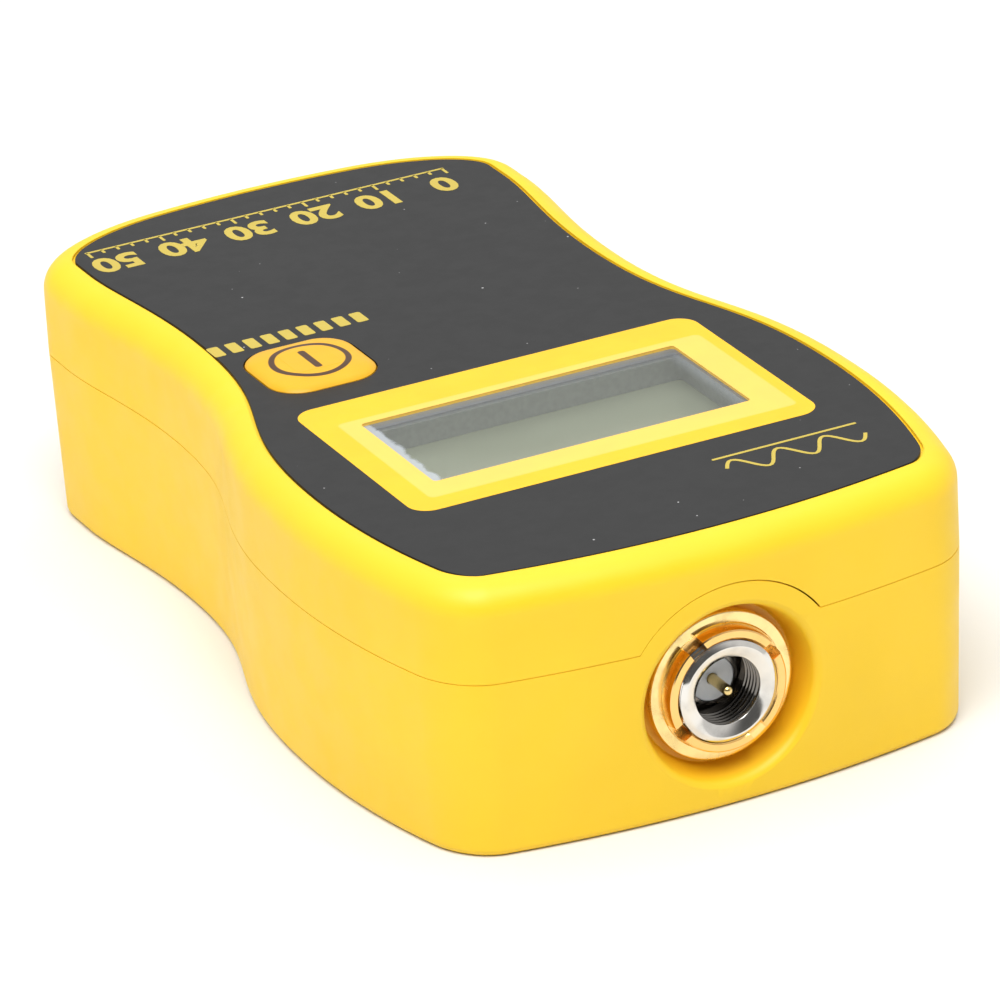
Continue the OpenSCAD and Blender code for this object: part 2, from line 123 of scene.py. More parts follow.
def power(name, text, watts):
    return FloatProperty(name=name, description=text, default=watts, unit="POWER")


class MeterCase(bpy.types.PropertyGroup):
    head_width: length("Head width", "Width beside the display", CAD_BOX[1].x - CAD_BOX[0].x)
    waist_width: length("Waist width", "Width at the waist", 45 * MM)
    tail_width: length("Tail width", "Width at the tail", 48.2 * MM)
    case_length: length("Case length", "Length from tail to socket end", CAD_BOX[1].y - CAD_BOX[0].y)
    case_height: length("Case height", "Height to the rim of the front", 25 * MM)
    edge: length("Edge radius", "Radius of the rounded edge round the front", 2.8 * MM)
    seam: length("Seam height", "Height of the parting line", 16.2 * MM)
    wall: length("Wall", "Thickness of the side walls", 2 * MM)
    floor: length("Floor", "Thickness of the floor", 2 * MM)
    roof: length("Roof", "Thickness of the roof", 2 * MM)
    arch: length("Arch radius", "Radius of the lower shell's arch", 10.3 * MM)
    well: length("Well radius", "Radius of the socket's well", 7.4 * MM)
    well_edge: length("Well edge", "Radius of the well's rounded mouth", 1.0 * MM)
    yellow: colour("Yellow", "Colour of the moulded case", (0.93, 0.60, 0.012))


class MeterFront(bpy.types.PropertyGroup):
    window_width: length("Window width", "Width of the clear window", 30.6 * MM)
    window_length: length("Window length", "Length of the clear window", 14.3 * MM)
    window_y: length("Window place", "Middle of the window along the case", 16.4 * MM)
    border_width: length("Border width", "Width of the printed border", 39 * MM)
    border_length: length("Border length", "Length of the printed border", 24.8 * MM)
    ink: length("Ink", "Thickness of the printed ink", 0.015 * MM)
    black: colour("Film black", "Colour of the film", (0.0078, 0.0078, 0.0078))
    print_yellow: colour("Print yellow", "Colour of the border's ink", (0.93, 0.53, 0.010))
    key_yellow: colour("Key yellow", "Colour of the key", (0.82, 0.42, 0.008))
    legend: colour("Legend ink", "Colour of the fine legends", (0.55, 0.42, 0.06))


class MeterSocket(bpy.types.PropertyGroup):
    steps: IntProperty(name="Steps", description="Faces round each turned piece", default=96, min=24)
    thread_pitch: length("Thread pitch", "Pitch of the 1/4-36 thread", 25.4 / 36 * MM)
    thread_depth: length("Thread depth", "Depth of the thread", 0.3 * MM)
    gold: colour("Gold", "Colour of the plated nut and pin", (1.0, 0.77, 0.34))
    nickel: colour("Nickel", "Colour of the plated barrel", (0.80, 0.77, 0.72))


class MeterStage(bpy.types.PropertyGroup):
    azimuth: turn("Azimuth", "Camera's turn round the case", 154.36)
    elevation: turn("Elevation", "Camera's height above the floor", 24.41)
    roll: turn("Roll", "Camera's lean", -3.30)
    distance: length("Distance", "From the camera to what it looks at", 0.6748)
    focal: FloatProperty(name="Lens", description="Focal length in millimetres", default=276.35)
    sky: FloatProperty(name="Sky", description="Strength of the white surroundings", default=0.73)
    key_power: power("Key light", "Power of the overhead softbox", 1.4)
    front_power: power("Front light", "Power of the softbox over the camera", 9.4)
    floor_white: colour("Floor", "Colour of the floor", (0.78, 0.78, 0.77))


# ---- modelling

def deselect():
    if bpy.context.mode != "OBJECT":
        bpy.ops.object.mode_set(mode="OBJECT")
    bpy.ops.object.select_all(action="DESELECT")


def work_on(piece):
    deselect()
    piece.select_set(True)
    bpy.context.view_layer.objects.active = piece


def open_mesh(piece, mode="FACE"):
    work_on(piece)
    bpy.ops.object.mode_set(mode="EDIT")
    bpy.ops.mesh.select_mode(type=mode)


def close_mesh():
    bpy.ops.object.mode_set(mode="OBJECT")


def select_all(action="SELECT"):
    bpy.ops.mesh.select_all(action=action)


def outwards():
    """Points the open mesh's faces outwards, and closes it."""
    select_all()
    bpy.ops.mesh.normals_make_consistent(inside=False)
    close_mesh()


def pick(piece, faces=None, edges=None):
    """Selects the faces or edges of the open mesh that pass a test, and returns how many."""
    select_all("DESELECT")
    mesh = bmesh.from_edit_mesh(piece.data)
    found = [f for f in mesh.faces if faces(f)] if faces else [e for e in mesh.edges if edges(e)]
    for element in found:
        element.select_set(True)
    bmesh.update_edit_mesh(piece.data)
    return len(found)


def ring(name, points, z, filled=True):
    """Closed line or filled face through points of (x, y), made from a circle."""
    deselect()
    bpy.ops.mesh.primitive_circle_add(vertices=len(points), radius=MM,
                                      fill_type="NGON" if filled else "NOTHING", location=(0, 0, 0))
    piece = bpy.context.active_object
    piece.name = name
    for vertex, (x, y) in zip(piece.data.vertices, points):
        vertex.co = (x, y, z)
    return piece


def prism(name, points, z0, z1):
    """Solid that stands on an outline of (x, y) from z0 to z1."""
    piece = ring(name, points, z0)
    open_mesh(piece)
    select_all()
    bpy.ops.mesh.extrude_region_move(TRANSFORM_OT_translate={"value": (0, 0, z1 - z0)})
    outwards()
    return piece


def step_in(piece, height, steps):
    """Insets the face at a height again and again, each step (how far in, how far out along it)."""
    open_mesh(piece)
    pick(piece, faces=lambda f: all(abs(v.co.z - height) < 1e-7 for v in f.verts))
    for thickness, depth in steps:
        bpy.ops.mesh.inset(thickness=thickness, depth=depth, use_even_offset=True)
    close_mesh()


def quarter_steps(radius, count, start=0, stop=90):
    """Inset steps that round an edge over a quarter turn."""
    angles = [math.radians(start + (stop - start) * i / count) for i in range(count + 1)]
    return [(radius * (math.cos(a) - math.cos(b)), radius * (math.sin(b) - math.sin(a)))
            for a, b in zip(angles, angles[1:])]


def box(name, low, high):
    deselect()
    centre = [(a + b) / 2 for a, b in zip(low, high)]
    size = [b - a for a, b in zip(low, high)]
    bpy.ops.mesh.primitive_cube_add(size=1, location=centre, scale=size)
    piece = bpy.context.active_object
    piece.name = name
    settle(piece)
    return piece


def rod(radius, place, z0, z1, steps):
    """Upright cylinder at a place, from z0 to z1."""
    deselect()
    bpy.ops.mesh.primitive_cylinder_add(vertices=steps, radius=radius, depth=z1 - z0,
                                        location=(place[0], place[1], (z0 + z1) / 2))
    piece = bpy.context.active_object
    settle(piece)
    return piece


def rods(radius, places, z0, z1):
    """Upright cylinders at each place, as one piece."""
    return join([rod(radius, place, z0, z1, 48) for place in places], "rods")


def settle(piece):
    """Puts a piece's place, turn and size into its mesh."""
    work_on(piece)
    bpy.ops.object.transform_apply(location=True, rotation=True, scale=True)


def turned(name, profile, steps, centre=(0, SOCKET_Z)):
    """Solid turned round a line along Y: its profile is a closed run of (radius, y)."""
    piece = ring(name, profile, 0, filled=False)
    for vertex in piece.data.vertices:
        vertex.co = (centre[0] + vertex.co.x, vertex.co.y, centre[1])
    open_mesh(piece, "VERT")
    select_all()
    bpy.ops.mesh.spin(steps=steps, angle=FULL_TURN, center=(centre[0], 0, centre[1]), axis=(0, 1, 0))
    select_all()
    bpy.ops.mesh.remove_doubles(threshold=1e-7)
    bpy.ops.mesh.dissolve_degenerate(threshold=1e-7)
    outwards()
    return piece


def modify(piece, kind, **settings):
    work_on(piece)
    modifier = piece.modifiers.new(kind.title(), kind)
    for name, value in settings.items():
        setattr(modifier, name, value)
    bpy.ops.object.modifier_apply(modifier=modifier.name)


def bevel(piece, width, angle=30, segments=2):
    """Rounds the edges that are sharper than an angle in degrees."""
    modify(piece, "BEVEL", width=width, segments=segments, limit_method="ANGLE",
           angle_limit=math.radians(angle))


def combine(piece, other, operation):
    """Boolean of two solids. The second one is used up."""
    modify(piece, "BOOLEAN", operation=operation, object=other, solver="EXACT")
    bpy.data.objects.remove(other)


def add(piece, other):
    combine(piece, other, "UNION")


def cut(piece, other):
    combine(piece, other, "DIFFERENCE")


def keep(piece, other):
    combine(piece, other, "INTERSECT")


def punch(piece, points):
    """Cuts a hole of an outline of (x, y) right through."""
    cut(piece, prism("hole", points, 0, FAR))


def join(pieces, name):
    work_on(pieces[0])
    for piece in pieces:
        piece.select_set(True)
    bpy.ops.object.join()
    pieces[0].name = name
    return pieces[0]


def copy_of(piece, name, shift):
    work_on(piece)
    bpy.ops.object.duplicate(linked=False)
    twin = bpy.context.active_object
    twin.name = name
    twin.location = shift
    settle(twin)
    return twin


def smooth(piece, angle):
    """Shades a piece smooth, but for its edges that are sharper than an angle in degrees."""
    work_on(piece)
    bpy.ops.object.shade_smooth_by_angle(angle=math.radians(angle))
    modify(piece, "WEIGHTED_NORMAL", keep_sharp=True, weight=80)


def fit(piece, name, body, slot, material, *nodes, angle=30):
    """Smooths and names a finished piece, gives it its finish and sets it on its body."""
    if angle:
        smooth(piece, angle)
    piece.name = name
    piece.data.name = name
    piece.data.materials.clear()
    piece.data.materials.append(material)
    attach(piece, body)
    if nodes:
        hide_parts(*nodes)


def fit_moulding(piece, name, body, node):
    fit(piece, name, body, "case_plastic", bpy.data.materials["moulded_yellow"], node)


# ---- the case's outline

def bezier(a, b, c, d, count):
    run = []
    for i in range(1, count + 1):
        t = i / count
        u = 1 - t
        run.append(a * u ** 3 + b * 3 * u * u * t + c * 3 * u * t * t + d * t ** 3)
    return run


def sag(radius, x):
    return radius - math.sqrt(radius * radius - x * x)


def corner(p, u, q, v, count):
    """Curve from p to q that leaves along u and arrives against v."""
    s = ((q.x - p.x) * v.y - (q.y - p.y) * v.x) / (u.x * v.y - u.y * v.x)
    meet = p + u * s
    pull = 0.56
    return bezier(p, p + (meet - p) * pull, q + (meet - q) * pull, q, count)


def panel_line(case):
    """Points round the flat front, where the rounded edge begins, anticlockwise from above."""
    head = case.head_width / 2 - case.edge
    waist = case.waist_width / 2 - case.edge
    tail = case.tail_width / 2 - case.edge
    end = case.case_length / 2 - case.edge
    tail_bow, side_bow = 92 * MM, 70 * MM
    head_side_y, waist_y, tail_side_y = 21.3 * MM, -15.1 * MM, -34.5 * MM
    head_end, tail_end = Vector((20.2, 39.4)) * MM, Vector((10, -37.6)) * MM
    head_arc = [Vector((x, end - sag(HEAD_BOW, x)))
                for x in (head_end.x * i / 24 for i in range(25))]
    head_side = [Vector((head - sag(side_bow, y - head_side_y), y))
                 for y in (head_end.y + (head_side_y - head_end.y) * i / 20 for i in range(21))]
    tail_arc = [Vector((x, -end + sag(tail_bow, x)))
                for x in (tail_end.x * (1 - i / 12) for i in range(13))]
    side = list(head_arc)
    side += corner(head_arc[-1], Vector((1, -head_end.x / HEAD_BOW)), head_side[0],
                   Vector((-(head_end.y - head_side_y) / side_bow, 1)), 28)
    side += head_side[1:]
    side += bezier(Vector((head, head_side_y)), Vector((head, head_side_y - 19.6 * MM)),
                   Vector((waist, waist_y + 18.4 * MM)), Vector((waist, waist_y)), 44)
    side += bezier(Vector((waist, waist_y)), Vector((waist, waist_y - 9 * MM)),
                   Vector((tail, tail_side_y + 5 * MM)), Vector((tail, tail_side_y)), 26)
    side += [Vector((tail, tail_side_y + (tail_end.y - tail_side_y) * i / 3)) for i in range(1, 4)]
    side += corner(Vector((tail, tail_end.y)), Vector((0, -1)), tail_arc[0],
                   Vector((1, tail_end.x / tail_bow)), 30)
    side += tail_arc[1:]
    return side[::-1] + [Vector((-p.x, p.y)) for p in side[1:-1]]


def outline(case, grow):
    """The panel line, moved outwards."""
    line = panel_line(case)
    count = len(line)
    moved = []
    for i, point in enumerate(line):
        along = line[(i + 1) % count] - line[i - 1]
        moved.append(point + Vector((along.y, -along.x)).normalized() * grow)
    return moved


def rounded_box(width, depth, radius, centre, arc_steps=10):
    """Outline of a rectangle with round corners, anticlockwise."""
    points = []
    for quarter in range(4):
        sx = 1 if quarter in (0, 3) else -1
        sy = 1 if quarter < 2 else -1
        for i in range(arc_steps + 1):
            angle = math.radians(90 * quarter + 90 * i / arc_steps)
            points.append((centre[0] + sx * (width / 2 - radius) + radius * math.cos(angle),
                           centre[1] + sy * (depth / 2 - radius) + radius * math.sin(angle)))
    return points


# ---- finishes

class Term:
    """A number, vector or colour that runs through a finish's nodes."""

    def __init__(self, finish, socket):
        self.finish = finish
        self.socket = socket

    def also(self, output):
        """Another output of the same node."""
        return Term(self.finish, self.socket.node.outputs[output])

    def __add__(self, other):
        return self.finish.math("ADD", self, other)

    def __sub__(self, other):
        return self.finish.math("SUBTRACT", self, other)

    def __rsub__(self, other):
        return self.finish.math("SUBTRACT", other, self)

    def __mul__(self, other):
        return self.finish.math("MULTIPLY", self, other)

    def __gt__(self, other):
        return self.finish.math("GREATER_THAN", self, other)

    def __lt__(self, other):
        return self.finish.math("LESS_THAN", self, other)

    def __abs__(self):
        return self.finish.math("ABSOLUTE", self)

    __radd__ = __add__
    __rmul__ = __mul__

    def larger(self, other):
        return self.finish.math("MAXIMUM", self, other)

    def smaller(self, other):
        return self.finish.math("MINIMUM", self, other)


class Finish:
    """A material whose nodes are made one at a time."""

    def __init__(self, name):
        self.material = bpy.data.materials.new(name)
        self.material.use_nodes = True
        self.tree = self.material.node_tree
        self.tree.nodes.clear()
        self.place = self.node("TexCoord", {}, {}, "Object")

    def node(self, kind, settings, inputs, output=0):
        made = self.tree.nodes.new("ShaderNode" + kind)
        for name, value in settings.items():
            setattr(made, name, value)
        for name, value in inputs.items():
            socket = made.inputs[name]
            if isinstance(value, Term):
                self.tree.links.new(value.socket, socket)
            elif socket.type == "RGBA" and len(value) == 3:
                socket.default_value = (*value, 1)
            else:
                socket.default_value = value
        return Term(self, made.outputs[output])

    def math(self, operation, *values):
        return self.node("Math", {"operation": operation}, dict(enumerate(values)))

    def hypot(self, a, b):
        """Length of a line with two legs at right angles."""
        return self.math("SQRT", a * a + b * b)

    def noise(self, scale, detail=2, roughness=0.5):
        return self.node("TexNoise", {}, {
            "Vector": self.place, "Scale": scale, "Detail": detail, "Roughness": roughness}, "Fac")

    def spread(self, value, low, high, to_low=0.0, to_high=1.0):
        """Value carried smoothly from one range to another, and held at its ends."""
        return self.node("MapRange", {"interpolation_type": "SMOOTHSTEP"}, {
            0: value, 1: low, 2: high, 3: to_low, 4: to_high})

    def drift(self, scale, detail, low, high):
        """Number that drifts over the piece between two values."""
        return self.spread(self.noise(scale, detail), 0.3, 0.7, low, high)

    def mix(self, share, a, b):
        return self.node("Mix", {"data_type": "RGBA"}, {0: share, 6: a, 7: b}, 2)

    def blend(self, share, a, b):
        return self.node("MixShader", {}, {0: share, 1: a, 2: b})

    def axes(self):
        x = self.node("SeparateXYZ", {}, {0: self.place}, "X")
        return x, x.also("Y"), x.also("Z")

    def specks(self, scale, size, share, dimensions="3D"):
        """Mask of rare round specks, about size cells wide, in a share of the cells."""
        cells = self.node("TexVoronoi", {"voronoi_dimensions": dimensions},
                          {"Vector": self.place, "Scale": scale}, "Distance")
        chance = self.node("SeparateColor", {}, {0: cells.also("Color")}, 0)
        width = self.noise(scale * 0.7, 0) * size
        return self.spread(width - cells, 0.0, size * 0.3) * (chance > 1 - share)

    def box_distance(self, centre, width, depth, radius):
        """Distance from a rounded rectangle's edge in the XY plane, negative inside."""
        x, y, _ = self.axes()
        dx = abs(x - centre[0]) - (width / 2 - radius)
        dy = abs(y - centre[1]) - (depth / 2 - radius)
        out_x, out_y = dx.larger(0), dy.larger(0)
        return self.hypot(out_x, out_y) + dx.larger(dy).smaller(0) - radius

    def reach(self):
        """Distance from the socket's axis."""
        x, _, z = self.axes()
        return self.hypot(x, z - SOCKET_Z)

    def bump(self, height, strength, distance):
        return self.node("Bump", {}, {
            "Strength": strength, "Distance": distance, "Height": height}, "Normal")

    def surface(self, **inputs):
        """Principled surface that ends the finish, and the finished material."""
        named = {name.replace("_", " ").title(): value for name, value in inputs.items()}
        named = {name.replace("Ior", "IOR"): value for name, value in named.items()}
        return self.end(self.node("BsdfPrincipled", {}, named))

    def printed(self, tone):
        """Soft gloss of printed film, with a fine matt texture."""
        return self.surface(base_color=tone, roughness=self.drift(500, 4, 0.38, 0.42), ior=1.42,
                            normal=self.bump(self.noise(5200), 0.10, 0.012 * MM))

    def end(self, shader):
        made = self.tree.nodes.new("ShaderNodeOutputMaterial")
        self.tree.links.new(shader.socket, made.inputs["Surface"])
        return self.material


def tint(colour_value, factor):
    return tuple(min(1.0, c * factor) for c in colour_value)


def moulded_plastic(case):
    """Satin moulded plastic: a faint spark texture, slow tone changes and a few dark specks.

    The socket's well is painted a deeper orange that grows further in: painted shade in the recess."""
    f = Finish("moulded_yellow")
    base = case.yellow
    tone = f.mix(f.spread(f.noise(45, 3), 0.35, 0.65), tint(base, 0.97), tint(base, 1.03))
    y = f.axes()[1]
    end = case.case_length / 2
    # painted shade: inside the socket's well the yellow is painted a deeper orange, more so further
    # in
    depth = f.spread(y, end - 0.3 * MM, end - 2.4 * MM) * (y > end - 6 * MM)
    well_painted_shade = (f.reach() < case.well + 1.4 * MM) * depth
    tone = f.mix(well_painted_shade * 0.65, tone, (0.78, 0.36, 0.006))
    marked = f.mix(f.specks(170, 0.05, 0.04) * 0.6, tone, tint(base, 0.35))
    return f.surface(base_color=marked, roughness=f.drift(260, 3, 0.42, 0.52), ior=1.5,
                     normal=f.bump(f.noise(3200, 2, 0.6), 0.12, 0.02 * MM))


def film(front):
    """Black printed film with stray dust."""
    f = Finish("printed_film")
    cloud = f.mix(f.noise(60, 3), tint(front.black, 0.85), tint(front.black, 1.2))
    return f.printed(f.mix(f.specks(420, 0.07, 0.07, "2D") * 0.7, cloud, (0.6, 0.6, 0.6)))


def ink_tone(f, base):
    return f.mix(f.drift(300, 3, 0, 1), tint(base, 0.97), tint(base, 1.02))


def ink(name, base, zone=None):
    """Screened ink under the film. A zone is a rounded rectangle where the light comes through."""
    f = Finish(name)
    tone = ink_tone(f, base)
    if zone:
        lit = f.spread(f.box_distance(*zone), 0.15 * MM, -0.15 * MM)
        tone = f.mix(lit * 0.15, tone, (1.0, 0.93, 0.62))
    return f.printed(tone)


def key_print(base):
    """Yellow key with its printed ring and bar."""
    f = Finish("key_print")
    centre = middle(KEY)
    x, y, _ = f.axes()
    off_line = abs(f.hypot(x - centre.x, y - centre.y) - 3.4 * MM)
    ring_mark = f.spread(off_line, 0.34 * MM, 0.22 * MM)
    bar = f.spread(f.box_distance(centre, 0.7 * MM, 4.1 * MM, 0.3 * MM), 0.05 * MM, -0.05 * MM)
    return f.printed(f.mix(ring_mark.larger(bar), ink_tone(f, base), (0.07, 0.03, 0.01)))


def turned_metal(name, base, rough_low, rough_high, core=None):
    """Plated metal with fine turning marks round the socket's axis, and a few smudges.

    A core (radius, mouth, colour) is painted light: that colour is painted inside that radius,
    behind its mouth, as painted shade in the barrel's bore and as a painted reflection of the yellow
    case on the nut's boss."""
    f = Finish(name)
    y, reach = f.axes()[1], f.reach()
    marks = f.node("TexNoise", {"noise_dimensions": "2D"}, {
        "Vector": f.node("CombineXYZ", {}, {"X": reach, "Y": y}),
        "Scale": 9000, "Detail": 2}, "Fac")
    smudge = f.noise(700, 4)
    tone = f.mix(f.spread(smudge, 0.35, 0.8), base, tint(base, 0.82))
    if core:
        radius, mouth, painted_light_tint = core
        # painted light: the core's colour stands in for shade in the bore and for the yellow case
        # reflected on the boss
        tone = f.mix((reach < radius) * f.spread(y, mouth, mouth - 0.3 * MM) * 0.8, tone, painted_light_tint)
    return f.surface(base_color=tone, metallic=1.0,
                     roughness=f.spread(smudge, 0.3, 0.75, rough_low, rough_high),
                     normal=f.bump(marks, 0.08, 0.01 * MM))


def mottled(name, base, other, scale, rough, metallic=0.0):
    """Plain finish of two near tones in a fine mottle, for the pieces inside."""
    f = Finish(name)
    return f.surface(base_color=f.mix(f.drift(scale, 4, 0, 1), base, other), metallic=metallic,
                     roughness=f.drift(scale * 2.2, 3, rough * 0.85, rough * 1.15),
                     normal=f.bump(f.noise(scale * 6), 0.08, 0.02 * MM))


def board_mask():
    """Green solder mask over fine copper tracks."""
    f = Finish("board_mask")
    x = f.axes()[0]
    across = f.math("FRACT", (x + f.noise(90, 1) * 0.004) * 420)
    track = f.spread(abs(across - 0.5), 0.20, 0.26)
    tone = f.mix(track, (0.03, 0.16, 0.06), (0.015, 0.085, 0.035))
    return f.surface(base_color=tone, roughness=f.drift(300, 2, 0.22, 0.34),
                     normal=f.bump(track, 0.2, 0.03 * MM))


def cell_wrap():
    """Dark battery wrap with a copper-coloured band, bare steel at both ends."""
    f = Finish("wrapped_cell")
    y = f.axes()[1]
    low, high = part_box("battery_cell_1")
    band = f.spread(abs(y - (high.y - 9 * MM)), 5.2 * MM, 5.0 * MM)
    dark = f.mix(f.noise(180), (0.03, 0.032, 0.036), (0.05, 0.052, 0.058))
    wrap = f.mix(band, dark, (0.75, 0.38, 0.14))
    wrapped = (y > low.y + 0.4 * MM) * (y < high.y - 1.3 * MM)
    return f.surface(base_color=f.mix(wrapped, (0.7, 0.7, 0.68), wrap), metallic=1 - wrapped * 0.7,
                     roughness=f.drift(400, 2, 0.28, 0.38),
                     normal=f.bump(f.noise(900), 0.05, 0.02 * MM))


def clear_sheet():
    """Clear window: shines at a low angle, with frosted sides, a ragged line of glue, and a pale
    grey patch of painted light over the shaded strips along its tail-side edge and its end at
    negative x.
    """
    f = Finish("clear_sheet")
    back = f.node("NewGeometry", {}, {}, "Backfacing")
    shine = f.node("Fresnel", {}, {"IOR": 1.45}) * (1 - back)
    clear = f.blend(shine, f.node("BsdfTransparent", {}, {"Color": (0.97, 0.98, 0.97)}),
                    f.node("BsdfGlossy", {}, {
                        "Color": (1, 1, 1), "Roughness": 0.08,
                        "Normal": f.bump(f.noise(220), 0.02, 0.02 * MM)}))
    x, y, z = f.axes()
    ragged = x + (f.noise(450, 4) - 0.5) * 1.7 * MM
    edge = f.spread(ragged, 14.1 * MM, 14.6 * MM) * 0.65
    # painted light: a pale grey patch on the window's top that lightens the shaded strips along its
    # tail-side edge and its end at negative x
    painted_light_patch = f.spread(y, 11.8 * MM, 9.0 * MM).larger(f.spread(x, -13.4 * MM, -15.5 * MM)) * 0.27
    on_top = z > LENS[1].z - 0.05 * MM
    # this pale diffuse serves both the real glue line and the painted light patch
    glue_and_painted_light = f.node("BsdfDiffuse", {}, {"Color": (0.52, 0.56, 0.60)})
    frost = f.node("BsdfDiffuse", {}, {"Color": (0.80, 0.81, 0.80)})
    at_side = f.box_distance(middle(LENS), LENS_WIDTH, LENS_DEPTH, 0.7 * MM) > -0.1 * MM
    return f.end(f.blend(at_side, f.blend(edge.larger(painted_light_patch) * on_top, clear, glue_and_painted_light), frost))


def display_glass():
    """Grey-green reflective display under its polariser."""
    f = Finish("display_glass")
    tone = f.mix(f.drift(70, 2, 0, 1), (0.25, 0.265, 0.20), (0.28, 0.295, 0.23))
    return f.surface(base_color=tone, roughness=f.drift(900, 2, 0.16, 0.24),
                     normal=f.bump(f.noise(2600), 0.03, 0.01 * MM))


# ---- the shells

def case_form(case):
    """Whole outside of the case as one solid, with the pocket for the film in its top."""
    shoulder = case.case_height - case.edge
    form = prism("case_form", outline(case, case.edge), case.seam, shoulder)
    lip, base = 0.1 * MM, 0.8 * MM
    pocket = case.case_height - FILM[0].z
    step_in(form, shoulder, quarter_steps(case.edge - lip, 10) + [
        (lip * 0.5, lip * 0.35), (lip * 0.5, -lip * 0.3), (0, -(pocket - lip * 0.95))])
    step_in(form, case.seam, [(0.5 * MM, case.seam - base)] + quarter_steps(base, 6))
    return form


def socket_rod(radius, y0, steps=ARCH_STEPS):
    """Bar on the socket's axis, from y0 out through the end wall."""
    return turned("bar", [(0, y0), (radius, y0), (radius, FAR), (0, FAR)], steps)


def well_cutter(case, steps):
    """The socket's well, with a mouth that rounds into the bowed, drafted end wall."""
    face = case.case_length / 2
    floor_y = NUT[0].y
    edge, lean = case.well_edge, 0.6 * MM
    first, last = math.radians(12), math.radians(64)
    mouth = [(case.well + lean + edge * (math.cos(first) - math.cos(a)),
              face - edge + edge * math.sin(a))
             for a in (first + (last - first) * i / 7 for i in range(8))]
    over = 1.4 * MM
    outside = mouth[-1][1] + over * math.cos(last)
    profile = [(0, floor_y), (case.well - 0.15 * MM, floor_y), (case.well, floor_y + 0.15 * MM)]
    profile += mouth + [(mouth[-1][0] + over * math.sin(last), outside), (0, outside)]
    cutter = turned("well_cutter", profile, steps)
    for vertex in cutter.data.vertices:
        if vertex.co.y > floor_y + 0.5 * MM:
            draft = 0.5 * MM * max(0, case.seam - vertex.co.z) / case.seam
            vertex.co.y -= sag(HEAD_BOW, vertex.co.x) + draft
    return cutter


def ease_seam(case, piece, height):
    """Small round along the parting line and half of the arch, so that it reads as a groove."""
    line = outline(case, case.edge)
    wall = KDTree(len(line))
    for i, point in enumerate(line):
        wall.insert((*point, height), i)
    wall.balance()

    def on_wall(point):
        return abs(point.z - height) < 1e-6 and wall.find(point)[2] < 0.9 * MM

    def on_arch(point):
        off = math.hypot(point.x, point.z - SOCKET_Z)
        return (abs(off - case.arch) < 0.25 * MM and point.x < MM
                and point.y > case.case_length / 2 - MM)

    def on_seam(edge):
        a, b = (v.co for v in edge.verts)
        if edge.calc_face_angle(0) <= 1:
            return False
        level = abs(a.z - height) < 1e-6 and abs(b.z - height) < 1e-6
        return on_wall(a) and on_wall(b) if level else (
            on_arch(a) and on_arch(b) and a.z > height - 1e-6)

    open_mesh(piece, "EDGE")
    if pick(piece, edges=on_seam) < 100:
        raise RuntimeError("the parting line was not found")
    bpy.ops.mesh.bevel(offset=0.05 * MM, segments=2, profile=0.5, clamp_overlap=True)
    close_mesh()


class METER_OT_top_shell(bpy.types.Operator):
    """Builds the upper shell, with its rounded edge, film pocket, openings and screw bosses"""
    bl_idname = "meter.top_shell"
    bl_label = "Upper shell"

    def execute(self, context):
        case = context.scene.meter_case
        low = case.seam + 0.1 * MM
        roof = case.case_height - case.roof
        shell = case_form(case)
        cut(shell, box("below", (-FAR, -FAR, -FAR), (FAR, FAR, low)))
        cut(shell, prism("hollow", outline(case, case.edge - case.wall), 0, roof))
        arch = socket_rod(case.arch + 0.1 * MM, 41.5 * MM)
        arch.location.x = -0.07 * MM
        settle(arch)
        cut(shell, arch)
        punch(shell, lens_outline(0.2 * MM, 0.8 * MM))
        punch(shell, key_outline(0.15 * MM))
        lip_top, root = case.seam + 1.4 * MM, roof + 0.2 * MM
        add(shell, rods(BOSS, CASE_SCREWS, lip_top, root))
        add(shell, rods(2.3 * MM, BOARD_POSTS, BOARD[1].z, root))
        cut(shell, rods(1.25 * MM, CASE_SCREWS, 0, roof - 0.5 * MM))
        cut(shell, rods(0.95 * MM, BOARD_POSTS, 0, roof - 0.5 * MM))
        ease_seam(case, shell, low)
        fit_moulding(shell, "top_shell_moulding", "case", "top_shell")
        return {"FINISHED"}


